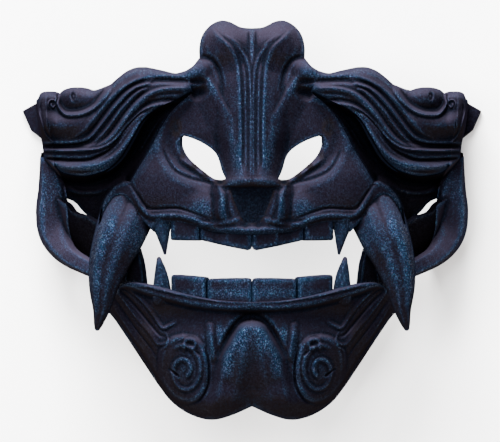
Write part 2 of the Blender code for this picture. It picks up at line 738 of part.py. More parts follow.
def tooth_outline(tooth):
    """The sides of a tooth, with the corners of its tip rounded."""
    cut = (tooth.outer - tooth.inner) * TOOTH_CORNER
    rise = math.copysign(cut, tooth.root - tooth.tip_inner)
    points = (
        (tooth.inner, tooth.root),
        (tooth.inner, tooth.tip_inner + rise / 2),
        (tooth.inner + cut / 3, tooth.tip_inner + rise / 8),
        (tooth.inner + cut, tooth.tip_inner),
        (tooth.outer - cut, tooth.tip_outer),
        (tooth.outer - cut / 3, tooth.tip_outer + rise / 4),
        (tooth.outer, tooth.tip_outer + rise),
        (tooth.outer, tooth.root),
    )
    return np.array(points) * FRONT_SCALE


def tooth_piece(tooth, runs, lift_at):
    """A tooth against the inside of a lip: runs and lift_at are those of the lip's shell."""
    piece = shell_piece(
        tooth.name + "_left",
        tooth_outline(tooth),
        hollow(lift_at),
        step_deg=PLAIN_STEP_DEG,
        row=PLAIN_ROW,
        inset=WALL / 2,
        wall=WALL / 2 + TOOTH_THICKNESS,
    )
    seat_behind(piece, runs, lift_at)
    return as_part(piece, HORN_COLOUR, HORN_ROUGHNESS)


def fang(name, rings, runs, lift_at):
    """A fang against the inside of a lip: runs and lift_at are those of the lip's shell."""
    table = smooth_run(rings, SWEEP_STEPS)
    radii = table[:, 2] * HUNDREDTH_ACROSS
    centres = surface_points(table[:, :2] * FRONT_SCALE, hollow(lift_at), WALL)
    centres[:, 2] -= radii * FANG_SEAT
    piece = swept_body(name + "_left", centres, radii, FANG_SIDES, HORN_FLATNESS)
    seat_behind(piece, runs, lift_at)
    return as_part(piece, HORN_COLOUR, HORN_ROUGHNESS)


def build():
    clear_scene()
    new_collection("oni_mask")
    new_collection("cutters")
    upper_face()
    lower_jaw()
    shells = [brow(), temple(), jaw_arm(), ear_tab()]
    horns = [tusk(), side_horn()]
    horns.append(fang("upper_fang", UPPER_FANG, FACE_HALF, face_lift))
    horns.append(fang("lower_fang", LOWER_FANG, JAW_HALF, jaw_lift))
    horns += [tooth_piece(tooth, FACE_HALF, face_lift) for tooth in UPPER_TEETH]
    horns += [tooth_piece(tooth, JAW_HALF, jaw_lift) for tooth in LOWER_TEETH]
    bpy.context.view_layer.update()
    for piece in shells:
        as_part(mirrored(piece, piece.name.replace("left", "right")))
    for piece in horns:
        as_part(mirrored(piece, piece.name.replace("left", "right")), HORN_COLOUR, HORN_ROUGHNESS)


build()
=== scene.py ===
"""Oni half mask, dressed: a faceted frame is covered with finely carved shells in glitter plastic.

The file is laid out as an add-on and is run as a script. The mask lies face up: +Z points out of
the face, +Y to the crown and +X to the wearer's left.

Places on the face are read from the front, in hundredths: "across" of half the mask's width and
"up" of half its height. "Deep" is in hundredths of the form's depth. Reliefs, widths and radii are
in millimetres. Every table gives the wearer's left side, and the right side is its mirror image.
"""

import math
from collections import namedtuple

import bmesh
import bpy
import numpy as np
from bpy.props import FloatProperty, FloatVectorProperty, PointerProperty
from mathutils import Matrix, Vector
from mathutils.geometry import delaunay_2d_cdt


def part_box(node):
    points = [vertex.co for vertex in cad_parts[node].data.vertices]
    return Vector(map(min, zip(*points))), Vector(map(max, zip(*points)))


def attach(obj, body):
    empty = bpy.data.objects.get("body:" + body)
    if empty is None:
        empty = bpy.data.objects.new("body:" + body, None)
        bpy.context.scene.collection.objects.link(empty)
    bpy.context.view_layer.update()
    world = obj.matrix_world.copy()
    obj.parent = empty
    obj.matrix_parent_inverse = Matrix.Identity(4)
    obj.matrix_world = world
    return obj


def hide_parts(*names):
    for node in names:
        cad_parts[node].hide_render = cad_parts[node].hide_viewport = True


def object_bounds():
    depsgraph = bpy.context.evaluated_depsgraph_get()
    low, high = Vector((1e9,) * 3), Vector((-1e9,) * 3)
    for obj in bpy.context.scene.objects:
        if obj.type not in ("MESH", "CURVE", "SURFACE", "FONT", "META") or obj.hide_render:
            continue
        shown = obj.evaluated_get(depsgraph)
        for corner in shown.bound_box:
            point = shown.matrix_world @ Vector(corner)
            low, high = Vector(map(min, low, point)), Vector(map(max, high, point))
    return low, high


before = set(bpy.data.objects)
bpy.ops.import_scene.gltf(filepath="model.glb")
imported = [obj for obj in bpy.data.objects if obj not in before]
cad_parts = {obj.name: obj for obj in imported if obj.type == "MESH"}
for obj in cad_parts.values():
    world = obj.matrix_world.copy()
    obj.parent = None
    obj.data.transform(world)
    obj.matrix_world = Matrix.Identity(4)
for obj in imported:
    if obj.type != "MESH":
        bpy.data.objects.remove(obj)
CAD_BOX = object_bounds()

bl_info = {
    "name": "Oni Half Mask",
    "version": (1, 0, 0),
    "blender": (4, 5, 0),
    "location": "View3D > Sidebar > Oni Mask",
    "description": "Builds a carved oni half mask in colour-shifting glitter plastic, piece by piece",
    "category": "Add Mesh",
}

MM = 0.001
SIDES = ("left", "right")
HUNDREDTHS = 100

# The shells are laid out flat on the form's arc, in millimetres, before they are raised.
FLAT_RADIUS = 105.0
RING_DISTANCES = (0.28, 0.75, 1.35)
INNER_SPACING = 3.2
# Added points keep these shares of their ring's distance and of the spacing from every edge.
RING_CLEARANCE = 0.9
GRID_CLEARANCE = 0.55
BATCH = 4000
LEAST_SLOPE = 0.32
RIM_FADE = math.radians(9)
RUN_STEPS = 10
PATH_STEPS = 4
RIDGE_POWER = 1.7
MERGE_DISTANCE = 1e-5

# The inner face follows a share of the raised relief, lies deeper, and keeps a share of the wall.
INNER_SHARE = 0.62
INNER_DROP = 0.4
WALL_SHARE = 0.5

# The relief marks that place the painted sheen on crests and the painted shade in hollows: how many steps
# smooth the mesh, and which relief counts in full.
FINE_STEPS = 5
BROAD_STEPS = 24
FULL_FINE_RELIEF = 0.09
FULL_BROAD_RELIEF = 0.5
LEAST_MARKED = 1000
SHARP_ANGLE = math.radians(62)

# Horns lie in the wall of the shell that covers their root and ride over the others.
HORN_SINK = 0.8
HORN_RIDE = 1.6
HORN_STEPS = 12
FANG_STEPS = 8
FANG_SINK = 0.5
END_TURNS = np.radians((25, 50, 70, 84))

TEMPLE_SINK = 5.0
TEMPLE_RISE = 4.5
TEMPLE_DROP = 2.0
LIP_MOST = 4.2

# How strongly crests and patches bring the glitter out as painted sheen, the noise varies it, hollows and
# sunlit faces dull it, and where painted shade turns brown and then deep dark.
CREST_GLITTER = 0.34
BROAD_CREST_GLITTER = 0.3
PAINTED_GLINT_WEIGHT = 0.85
CLOUD_GLITTER = 0.4
CLOUD_LEVEL = 0.65
CLOUD_SCALE = 38.0
HOLLOW_DULLING = 0.5
SUNLIT_DULLING = 0.5
PAINTED_SHADE_BROWN = (0.35, 0.6)
PAINTED_SHADE_DEEP = (0.62, 0.9)
FLAKE_TILT = 0.55
GRAIN_SCALE = 1500.0
GRAIN_DEPTH = 0.2 * MM

# The stage, in metres, but for the camera's shift to the photo's middle and its sensor.
CAMERA_SHIFT = (-1.1, -0.55)
SENSOR_WIDTH = 36
CLIP_END = 20
FLOOR_HALF = 6
FLOOR_DROP = 0.0002

Section = namedtuple("Section", "up half_width depth")
NoseSection = namedtuple("NoseSection", "up half_width lift")
Mound = namedtuple("Mound", "across up reach_across reach_up lift")
Terrace = namedtuple("Terrace", "lift edge points")
Crest = namedtuple("Crest", "lift left right sharpness points")
Roll = namedtuple("Roll", "radius drop runs")
Ring = namedtuple("Ring", "across up deep radius")
Tooth = namedtuple("Tooth", "name inner outer tip_inner tip_outer root")
Shell = namedtuple("Shell", "points faces")
Seat = namedtuple("Seat", "runs lift_at halved covered")

# The plain head form that every shell follows, from the crown to the chin.
HEAD_FORM = (
    Section(110, 94, 78),
    Section(100, 94, 84),
    Section(80, 94, 92),
    Section(64, 94, 97),
    Section(57, 94, 98),
    Section(47, 93, 99),
    Section(39, 91.5, 100),
    Section(20, 90, 100),
    Section(0, 86.5, 100),
    Section(-15, 81, 99),
    Section(-30, 74.5, 99),
    Section(-45, 67.5, 99),
    Section(-60, 61, 99),
    Section(-80, 51.5, 96),
    Section(-100, 43, 88),
    Section(-110, 39, 82),
)

# Outlines seen from the front: runs of points (across, up), with a smooth curve through each run.
BROW_SEAM = ((28.8, 74.6), (27, 69), (26.2, 64))
CHEEK_CREASE = ((26.2, 64), (33.6, 56), (38.9, 47.5), (44.5, 35), (49.8, 25), (52.8, 18.8))
HOOD_EDGE = ((52.8, 18.8), (56, 18.8), (60, 16), (63.4, 11), (65.2, 5), (66, -2))
TUSK_SEAT_EDGE = ((66, -2), (57.6, -8.5), (49.3, -14.5))
BROW_UNDERSIDE = (
    (85.2, 26.5), (81, 23.2), (73, 21.8), (66.4, 23.3), (61.5, 26), (56.5, 31.5),
    (52, 40), (47, 50), (41, 55.6), (33.6, 59.6), (26.2, 64),
)
HORN_SEAT = ((95, 33), (90, 31), (85.2, 26.5))
CROWN_EDGE = (
    (0, 96), (5, 96.6), (10, 99.3), (14, 99.8), (18.3, 97.2), (21.5, 92.5), (22.8, 86.5), (22.8, 81),
)
CROWN_FOOT = ((22.8, 81), (25.6, 77), (28.8, 74.6))

UPPER_LIP = (
    (42.4, -6), (40, -1.8), (36.7, -1), (29.3, -2), (22.7, -4), (18.3, -6), (11.8, -7), (0, -7.5),
)
HOOD_ARCH = (
    (66, -2), (64.4, 3), (62, 8), (59.5, 11.2), (57, 12.2), (54.4, 11.2), (51.5, 7.5), (48.9, 2.5),
    (46.3, -1.5), (42.4, -6),
)
FACE_HALF = (CROWN_EDGE, CROWN_FOOT, BROW_SEAM, CHEEK_CREASE, HOOD_EDGE, HOOD_ARCH, UPPER_LIP)
BROW_TOP = ((28.8, 74.6), (33.6, 73.4), (40.2, 75), (48, 76.6), (53.3, 75), (57.6, 71.5), (61.1, 68))
BOWL_TOP = ((61.1, 68), (66.4, 65.6), (69.9, 65), (73.5, 66.2), (77.3, 66.6), (81.5, 65.4), (84.3, 62.6))
LOBE_TOP = ((84.3, 62.6), (86.6, 64.2), (89.1, 64.6), (91.7, 63.6), (93.3, 60.5), (97, 60))
BROW = (
    BROW_TOP,
    BOWL_TOP,
    LOBE_TOP,
    ((97, 60), (97, 39)),
    ((97, 39), (95, 33)),
    HORN_SEAT,
    BROW_UNDERSIDE,
    BROW_SEAM[::-1],
)
TEMPLE = (
    BROW_UNDERSIDE[::-1],
    HORN_SEAT[::-1],
    ((95, 33), (97, 12)),
    ((97, 12), (86, 11.5)),
    ((86, 11.5), (80, 10.6), (76.3, 8.3), (74, 5.2), (72, 2.9)),
    ((72, 2.9), (66, -2)),
    HOOD_EDGE[::-1],
    CHEEK_CREASE[::-1],
)
JAW_ARM_FOOT = ((46.7, -31.8), (54.1, -31.6), (61, -37), (66.5, -43))
JAW_ARM = (
    ((66, -2), (72, 2.3)),
    ((72, 2.3), (74.8, 2.9), (78, 4.4), (80.8, 8.3), (86, 11.5)),
    ((86, 11.5), (97, 12)),
    ((97, 12), (97, -16)),
    ((97, -16), (82, -18.5), (72, -24.5), (66.5, -33), (66.5, -43)),
    JAW_ARM_FOOT[::-1],
    ((46.7, -31.8), (47.6, -22.5), (49.3, -14.5)),
    TUSK_SEAT_EDGE[::-1],
)
LOWER_LIP = ((0, -41), (11.8, -40.4), (22.7, -38.5), (33.6, -35.5), (41.5, -33), (46.7, -31.8))
JAW_SIDE = ((66.5, -43), (61.1, -48), (55.5, -57), (48.9, -68.5), (40.6, -83))
JAW_FOOT = (
    (40.6, -83), (35.5, -90.5), (29.3, -96), (22.7, -99.2), (16.6, -100), (8.7, -97.5), (0, -93.3),
)
JAW_HALF = (LOWER_LIP, JAW_ARM_FOOT, JAW_SIDE, JAW_FOOT)
EYE = (
    ((11.4, 20.6), (13.1, 25), (14.8, 31.5), (17.5, 35.5), (23.1, 39.5), (29.3, 42), (30.8, 41.2)),
    ((30.8, 41.2), (30.6, 36.5), (28, 31), (22.7, 25.5), (17, 20.8), (13.1, 20)),
    ((13.1, 20), (11.4, 20.6)),
)

# The raised middle of the face, from the crown down over the bridge and the nose to the lip.
NOSE = (
    NoseSection(100, 11, 1),
    NoseSection(80, 14, 4),
    NoseSection(60, 15, 5.5),
    NoseSection(45, 16, 6.6),
    NoseSection(35, 16, 8.2),
    NoseSection(28, 16, 10.8),
    NoseSection(22, 16.5, 13.6),
    NoseSection(18.5, 17.5, 15.2),
    NoseSection(17.4, 17.8, 14.8),
    NoseSection(16.2, 17.8, 12),
    NoseSection(13, 17.6, 10),
    NoseSection(8, 17.4, 8.4),
    NoseSection(2, 17.2, 7.2),
    NoseSection(-4, 17, 6.6),
    NoseSection(-12, 17, 6.4),
)
BROW_LIFTS = (
    (20, 5), (30, 7), (40, 10), (52, 12.3), (65, 11), (80, 9.5), (88, 9.5), (91, 11), (93.5, 13.5),
    (100, 14),
)
# Beside the crown, the face turns into the brow over these stretches.
BLEND_ACROSS = (15, 26)
BLEND_UP = (63, 68)

# Reliefs: broad mounds, flat terraces with an edge, and crests or grooves (negative) along a path.
FACE_MOUNDS = (
    Mound(12.6, 89, 11.69, 16, 9),
    Mound(24.2, 76, 7.79, 6, 3),
    Mound(23.4, 66, 6.06, 7.5, -5.5),
    Mound(41.1, 17, 18.19, 18, 4),
    Mound(19.1, 6, 14.72, 11, 4),
    Mound(21.2, 34, 12.99, 13, -3),
)
FACE_TERRACES = (
    Terrace(-2.5, 3, ((10.4, 17), (4.3, -2.5), (0, -3), (-7.8, -3), (-7.8, 17))),
    Terrace(-5, 5.5, (
        (26, 65), (30.7, 59), (35.1, 53.5), (37.7, 48), (39, 42), (38.1, 36), (35.5, 29.5),
        (32, 24), (26, 20.5), (18.2, 18.5), (10.8, 18), (8.2, 24), (9.1, 32.5), (11.7, 40),
        (14.7, 47), (17.3, 54), (19.9, 60.5), (22.9, 64),
    )),
)
FACE_CRESTS = (
    Crest(1.9, 4.5, 1.8, 0.8, (
        (18.2, 96.5, 0), (15.2, 93, 0.7), (12.1, 89.5, 1), (8.7, 85.5, 1), (6.5, 79.5, 1),
        (5.6, 72, 1), (5.2, 62.5, 1), (4.8, 50, 1.1), (4.8, 37.5, 1.1), (5.2, 30, 0.6),
        (5.2, 25, 0),
    )),
    Crest(1.5, 2.2, 1.6, 0.8, (
        (7.8, 90, 0), (5.6, 86.5, 0.7), (3, 82, 1), (1.3, 76, 1), (0.6, 67.5, 1), (0.4, 55, 1),
        (0.4, 40, 1.1), (0.4, 27.5, 0.8), (0.4, 20.5, 0),
    )),
    Crest(0.8, 1.4, 1.2, 0.8, ((11.7, 93, 0), (8.7, 90.5, 0.8), (5.6, 88, 0.8), (3, 85, 0))),
    Crest(1.2, 2.2, 2.2, 0.6, ((0, 97, 0.3), (0, 94, 1), (0, 87.5, 1), (0, 80, 0.7), (0, 74, 0))),
    Crest(0.7, 1.6, 1.2, 0.8, (
        (3.9, 79, 0), (3, 70, 1), (2.8, 57.5, 1), (2.6, 42.5, 1), (2.6, 30, 0.6), (2.6, 24, 0),
    )),
    Crest(0.5, 3, 3, 0.2, (
        (10, 79, 0), (8.7, 70, 0.6), (8.2, 60, 0.8), (8.2, 47.5, 1), (8.7, 37.5, 0.8),
        (9.1, 30, 0),
    )),
    Crest(-2.4, 3, 2.2, 0.7, (
        (23.8, 82, 0.8), (19.9, 81.5, 1), (17.3, 80, 1), (15.2, 77, 1), (13.9, 73, 0.9),
        (13, 68, 0.5), (12.1, 61.5, 0),
    )),
    Crest(1.1, 4.5, 3, 0.35, (
        (20.4, 74, 0), (18.2, 69.5, 0.7), (16, 65, 1), (14.3, 61, 1), (12.6, 57, 1),
        (10.4, 52.5, 0.8), (8.7, 48, 0),
    )),
    Crest(1, 3, 3, 0.3, ((19.5, 90, 0), (19.5, 86, 1), (18.2, 82.5, 0.6), (16.5, 81, 0))),
    Crest(-1.6, 1.4, 1.6, 0.8, (
        (52.4, 18, 0.4), (48.9, 12, 1), (45.9, 7, 1), (42.9, 5.5, 1), (37.2, 5.8, 1), (32, 5.8, 1),
        (27.7, 4.5, 0.9), (23.4, 2.8, 0.6), (18.2, 0.5, 0),
    )),
    Crest(1.6, 2.4, 2.6, 0.3, (
        (52.4, 15, 0), (49.4, 9, 0.8), (46.8, 4.5, 1), (43.3, 2, 1), (37.2, 2.2, 1), (31.2, 2, 1),
        (25.1, 0, 1), (19.9, -2.5, 1), (14.7, -4.5, 0.9), (7.4, -5, 0.8), (0, -5, 0.8),
    )),
    Crest(2.6, 2.6, 1.6, 0.7, (
        (31.2, 31.5, 0), (28.1, 28.5, 1), (24.2, 25.5, 1), (19.9, 22, 1), (15.6, 19, 0.6),
        (12.1, 18, 0),
    )),
    Crest(-1.2, 1.6, 1.6, 0.6, (
        (38.5, 36, 0), (36.4, 30, 0.7), (32.9, 24.5, 1), (26.8, 21, 1), (19.9, 19, 0.6),
        (15.6, 18, 0),
    )),
    Crest(4.2, 6, 3.2, 0.55, (
        (16.5, 20, 0), (14.3, 16, 0.8), (13, 11.5, 1), (12.6, 7, 1), (12.1, 3, 0.8),
        (10.4, -1, 0.3), (7.8, -4, 0),
    )),
    Crest(1.2, 2.5, 2.5, 0.4, (
        (24.2, -4, 0), (19.1, -2, 1), (13, -2, 1), (6.9, 0, 0.8), (2.6, 0.5, 0),
    )),
    Crest(0.4, 1.5, 2.5, 0.4, (
        (29.9, 41.5, 0.3), (24.7, 40.5, 1), (20.4, 38, 1), (16.5, 34, 1), (13.9, 29, 1),
        (12.1, 23.5, 0.4),
    )),
    Crest(-1.6, 1.6, 1.4, 0.7, (
        (28.6, 40.5, 0), (30.7, 38.5, 1), (30.3, 34.5, 1), (27.7, 30.5, 0.7), (23.8, 27, 0),
    )),
)
BROW_MOUNDS = (
    Mound(74.9, 60.5, 9.09, 6.5, 2.2),
    Mound(89.2, 54, 5.63, 15, 2.2),
    Mound(77.5, 62, 1.39, 2.75, -1.3),
    Mound(77.3, 61.8, 0.61, 1.5, 0.9),
    Mound(23.4, 66, 6.06, 7.5, -5.5),
    Mound(24.2, 76, 7.79, 6, 3),
)
BROW_TERRACES = (
    Terrace(-4.5, 1.5, (
        (84.4, 66), (83.8, 61), (82.9, 57.5), (80.5, 54.8), (76.2, 54.5), (71.9, 55.8),
        (68.4, 58.2), (65.8, 61.5), (63.2, 65), (59.8, 70), (67.5, 72), (78.8, 72),
    )),
)
BROW_CRESTS = (
    Crest(1.4, 3.5, 1.6, 0.8, (
        (43.3, 72, 0), (47.2, 71, 0.8), (51.5, 69, 1), (55.9, 66, 1), (59.8, 62, 1), (63.2, 58, 1),
        (66.2, 53.5, 1), (69.3, 49, 1), (72.3, 45, 0.8), (76.2, 42, 0.4), (80.5, 40.5, 0),
    )),
    Crest(-1.9, 1.6, 1.6, 0.7, (
        (43.3, 70, 0), (47.2, 69.2, 0.8), (51.1, 67.5, 1), (55, 64.5, 1), (58.5, 60.5, 1),
        (61.5, 56.5, 1), (64.5, 52, 1), (67.5, 47.5, 1), (70.6, 43.5, 0.6), (73.6, 41, 0),
    )),
    Crest(1.9, 1.6, 1.3, 0.85, (
        (42.9, 68, 0), (46.3, 67.5, 0.8), (50.2, 66, 1), (53.7, 63, 1), (56.7, 59.5, 1),
        (59.8, 55.5, 1), (62.8, 51, 1), (65.8, 46.5, 1), (68.8, 42.5, 0.7), (71.9, 39.5, 0),
    )),
    Crest(-1, 1, 1, 0.8, (
        (45.9, 66.2, 0), (49.4, 65, 1), (52.4, 62.5, 1), (55.4, 59, 1), (58.5, 54.8, 1),
        (61.5, 50, 1), (64.5, 45.5, 0.8), (67.5, 41.5, 0),
    )),
    Crest(1.6, 1.2, 1.2, 0.85, (
        (45, 65.8, 0), (48.1, 64.5, 1), (51.3, 61.5, 1), (54.1, 58, 1), (57.2, 54, 1),
        (60.2, 49, 1), (63.2, 44.5, 0.9), (66.2, 41, 0.5), (69.3, 38.5, 0),
    )),
    Crest(-1.5, 1.2, 1.4, 0.8, (
        (44.2, 64.8, 0), (47.2, 63, 1), (50.2, 60, 1), (53, 56.5, 1), (55.9, 52.5, 1),
        (58.9, 47.5, 1), (61.9, 43, 0.9), (65, 39.5, 0.5), (68.4, 37, 0),
    )),
    Crest(-2.8, 3, 2.2, 0.4, (
        (19.9, 69, 0.2), (25.1, 69, 0.7), (31.2, 69.5, 1), (37.2, 69.8, 1), (41.6, 69.5, 0.6),
        (45, 68, 0),
    )),
    Crest(2.4, 2.2, 3.2, 0.45, (
        (25.1, 65.5, 0.4), (29.4, 65.8, 1), (34.6, 65.8, 1), (39.8, 65, 1), (44.2, 63, 1),
        (47.6, 60, 1), (50.7, 56.5, 1), (53.7, 52, 1), (56.7, 47, 1), (59.8, 42.5, 1),
        (63.2, 39, 0.8), (67.5, 37, 0.3), (71.9, 36, 0),
    )),
    Crest(-1.9, 2.4, 1.8, 0.6, (
        (28.1, 60.5, 0.6), (32.9, 60.2, 1), (38.1, 60, 1), (42.4, 59, 1), (45.9, 57, 1),
        (48.9, 54, 1), (52, 50.5, 0.9), (55, 46, 0.6), (58.5, 41, 0),
    )),
    Crest(2.3, 1.8, 1.5, 0.8, (
        (30.7, 59.5, 0.3), (34.6, 58.2, 0.9), (39.4, 57.5, 1), (43.7, 56.5, 1), (47.6, 54.2, 1),
        (50.7, 51.2, 1), (53.7, 47.5, 1), (56.7, 43, 1), (60.2, 39, 1), (65, 36, 1), (71, 35, 1),
        (78.8, 34.8, 0.9), (87.5, 35, 0.8), (91.8, 35, 0.8),
    )),
    Crest(1.2, 0.9, 0.9, 0.9, (
        (45.9, 54, 0), (48.9, 51.5, 1), (52, 48, 1), (55, 44, 1), (58, 39.5, 1), (61.9, 35.5, 0.9),
        (65.8, 33.5, 0.6), (70.1, 32.5, 0),
    )),
    Crest(-2.4, 1.5, 1.8, 0.8, (
        (44.6, 55.2, 0), (47.2, 54, 0.7), (49.8, 51.5, 1), (52.6, 48, 1), (55.4, 44, 1),
        (58.5, 39, 1), (61.9, 35, 1), (66.2, 32, 1), (71, 30.2, 1), (77.9, 30, 0.9),
        (85.7, 30.5, 0.8), (90.9, 31, 0.7),
    )),
    Crest(2.6, 3.2, 3.4, 0.4, (
        (32, 58, 0.2), (37.2, 56, 0.8), (42, 53.8, 1), (45.5, 51, 1), (48.9, 46.5, 1),
        (52.4, 40.5, 1), (55.9, 35, 1), (60.2, 30.8, 1), (65.4, 28, 1), (71.9, 26.8, 1),
        (79.7, 26.5, 0.8), (86.6, 27.5, 0.6),
    )),
    Crest(0.8, 1, 1, 0.8, (
        (39.8, 57, 0), (43.3, 55.5, 1), (45.9, 53.8, 1), (48.9, 50.8, 1), (51.1, 47.5, 0),
    )),
    Crest(-3, 3, 1.6, 0.5, (
        (92.7, 37, 0.6), (87.5, 37.2, 1), (80.5, 37.2, 1), (74.5, 37.8, 1), (70.1, 39.5, 0.7),
        (66.7, 42.5, 0),
    )),
    Crest(2.6, 8, 9, 0.1, (
        (91.8, 47, 0.5), (85.7, 47.5, 1), (78.8, 47.5, 1), (72.7, 49, 0.8), (67.5, 54, 0),
    )),
    Crest(1.9, 1.6, 2.2, 0.5, (
        (84.4, 63.5, 0.3), (84.2, 59.5, 0.8), (83.1, 55.5, 1), (80.5, 52.8, 1), (76.2, 52.5, 1),
        (71.4, 53.8, 1), (67.5, 56.5, 1), (64.5, 60, 0.8), (61.5, 64.5, 0.3),
    )),
    Crest(-1.6, 1, 1, 0.8, ((84.4, 64, 1), (84.2, 61, 1), (84.7, 58.5, 0.8), (85.3, 56, 0))),
    Crest(0.9, 0.9, 0.9, 0.8, (
        (87.5, 55.5, 0), (88.1, 58.2, 1), (87, 60.2, 1), (85.3, 59.8, 1), (84.9, 58, 1),
        (86, 56.5, 1), (86.8, 57.8, 0.6), (86.2, 58.8, 0),
    )),
    Crest(1, 1, 1, 0.8, (
        (92.7, 57, 0), (91.8, 52, 1), (90.5, 46.5, 1), (88.8, 42, 1), (86.2, 39, 0.4),
    )),
    Crest(-0.7, 0.7, 0.7, 0.8, ((91.4, 59, 0), (91.4, 56.5, 1), (91.1, 53.5, 0))),
    Crest(-0.7, 0.7, 0.7, 0.8, ((88.3, 51, 0), (88.1, 47.5, 1), (87.9, 44.5, 0))),
    Crest(0.9, 2.6, 3.6, 0.1, (
        (24.7, 79, 1), (28.6, 74, 1), (33.8, 72, 1), (40.7, 73, 1), (47.6, 74.5, 1),
        (53.7, 72.5, 1), (58, 69, 0.7), (62.4, 66, 0),
    )),
)
TEMPLE_CRESTS = (
    Crest(1.2, 2, 2, 0.5, (
        (80.5, 17, 0), (76.2, 14, 1), (70.1, 13.5, 1), (64.1, 15, 0.5), (60.6, 18, 0),
    )),
    Crest(-2.5, 5, 5, 0.2, (
        (83.1, 20, 0.8), (74.5, 18, 1), (65.8, 19, 1), (58, 24, 1), (52, 32, 1), (45.9, 42, 0.8),
        (39.8, 51, 0.5),
    )),
    Crest(1.4, 1.2, 1.2, 0.7, (
        (37.2, 54, 0), (40.7, 49, 0.6), (44.2, 43, 0.8), (47.2, 37, 0.5), (50.2, 32, 0),
    )),
)
ARM_CRESTS = (
    Crest(1.2, 1.6, 1.6, 0.7, ((74.5, 4.5, 0), (69.3, 2, 1), (65.4, -1, 0.6))),
    Crest(1.4, 1.4, 1.4, 0.7, ((48.5, -15, 0.4), (51.5, -19, 1), (53.7, -24, 1), (54.6, -30, 0.6))),
)
JAW_MOUNDS = (
    Mound(16, -91, 15.59, 12, 3.5),
    Mound(0, -48, 11.26, 6, -3.5),
    Mound(29, -50, 21.65, 10, -2.2),
    Mound(44.2, -62.5, 14.72, 17, 1.2),
)
JAW_TERRACES = (
    Terrace(5.2, 1.8, (
        (61.5, -32), (53.7, -34), (45.9, -37), (39, -39.5), (31.2, -41.8), (22.5, -43.8),
        (11.7, -45), (0, -45.5), (-12.1, -45), (-20.8, -30), (0, -25), (31.2, -21), (57.2, -21),
    )),
    Terrace(2.4, 2, (
        (29.9, -57.5), (34.6, -59), (38.1, -63), (39.8, -69), (39.8, -76), (38.1, -83),
        (35.1, -88), (30.7, -91), (26, -91.5), (22.5, -88.5), (19.9, -82.5), (19.1, -75),
        (19.5, -68), (21.6, -62), (25.1, -58.5),
    )),
)
JAW_CRESTS = (
    Crest(0.9, 0.9, 1.1, 0.7, (
        (53.7, -33, 0), (45.9, -33.2, 0.6), (39.8, -35, 1), (31.2, -37.2, 1), (22.5, -39.2, 1),
        (11.7, -40.8, 1), (0, -41.2, 1),
    )),
    Crest(-5, 3.2, 3.6, 0.5, (
        (14.7, -69, 0), (12.1, -63, 0.6), (9.5, -57.5, 1), (6.9, -53, 1), (3.9, -50, 1),
        (0, -48.8, 1),
    )),
    Crest(2.6, 3.4, 3, 0.3, (
        (18.2, -53, 0.5), (17.8, -58, 1), (17.3, -63, 1), (16.9, -67, 0.8), (16.9, -71, 0),
    )),
    Crest(-1.8, 1.2, 1.2, 0.8, (
        (20.8, -62.5, 0), (19.1, -68.5, 1), (18.4, -75, 1), (18.8, -82, 1), (20.8, -87.5, 1),
        (23.8, -91, 0.6), (27.7, -92.5, 0),
    )),
    Crest(1.6, 1.2, 2.8, 0.6, (
        (56.3, -33.5, 0.4), (51.1, -37, 0.9), (46.3, -42.5, 1), (42.4, -48.5, 1), (39, -54, 1),
        (35.5, -53, 0.8), (32, -50.2, 0),
    )),
    Crest(-1.5, 1.6, 1.8, 0.6, (
        (56.7, -35.5, 0.3), (52.4, -40.5, 0.9), (47.6, -47, 1), (43.3, -53, 1), (39.8, -57.5, 0.8),
        (36.8, -58, 0),
    )),
    Crest(1.4, 1.4, 2.6, 0.6, (
        (58, -37, 0.3), (54.1, -43, 0.9), (49.8, -49.5, 1), (45, -56, 1), (41.1, -62, 1),
        (38.1, -62, 0.9), (35.5, -59, 0),
    )),
    Crest(-1.2, 1.5, 1.8, 0.6, (
        (59.3, -39.5, 0.3), (55.4, -46, 0.9), (50.7, -54, 1), (45.9, -61, 1), (42.4, -66.5, 0.7),
        (40.7, -71, 0),
    )),
    Crest(0.9, 1.6, 2.4, 0.5, (
        (61.1, -41, 0.3), (57.2, -48.5, 1), (52, -57.5, 1), (46.3, -67, 1), (41.6, -75.5, 0.9),
        (37.2, -83.5, 0.6), (33.3, -89.5, 0),
    )),
    Crest(-0.9, 1.2, 1.6, 0.6, (
        (58, -50, 0), (52.8, -59, 1), (47.2, -68.5, 1), (42, -78, 0.8), (37.2, -86, 0),
    )),
    Crest(0.8, 1.2, 1.2, 0.7, (
        (38.5, -54.5, 0), (36.4, -59, 0.8), (37.2, -63, 1), (39.8, -65.5, 0.8), (40.3, -71, 0.5),
        (39.8, -77, 0),
    )),
)


def spiral(middle, reach, turns, start, shrink, steps, last_share):
    """A crest's path that winds in round a middle, in equal steps, and grows weaker on the way."""
    path = []
    for step in range(steps + 1):
        done = step / steps
        angle = start + math.tau * turns * done
        size = 1 - shrink * done
        across = middle[0] - reach[0] * size * math.cos(angle)
        up = middle[1] - reach[1] * size * math.sin(angle)
        path.append((across, up, 0 if step in (0, steps) else 1 - (1 - last_share) * done))
    return path


SWIRL_CRESTS = (
    Crest(1.5, 2.3, 2, 0.35, spiral((29.44, -75.5), (8.66, 13.5), 1.55, -2.2, 0.8, 20, 0.9)),
    Crest(1.5, 1.9, 1.9, 0.4, spiral((26.41, -62.5), (3.46, 4), 1.1, 2.2, 0.8, 12, 0.8)),
    Crest(-1.8, 1.2, 1.2, 0.7, (
        (36.4, -74, 0), (34.6, -75.5, 1), (32.5, -77.5, 1), (31.6, -78.5, 0),
    )),
    Crest(-1.6, 1.2, 1.2, 0.7, ((25.1, -65, 0), (23.4, -66.5, 1), (22.5, -68, 0))),
)
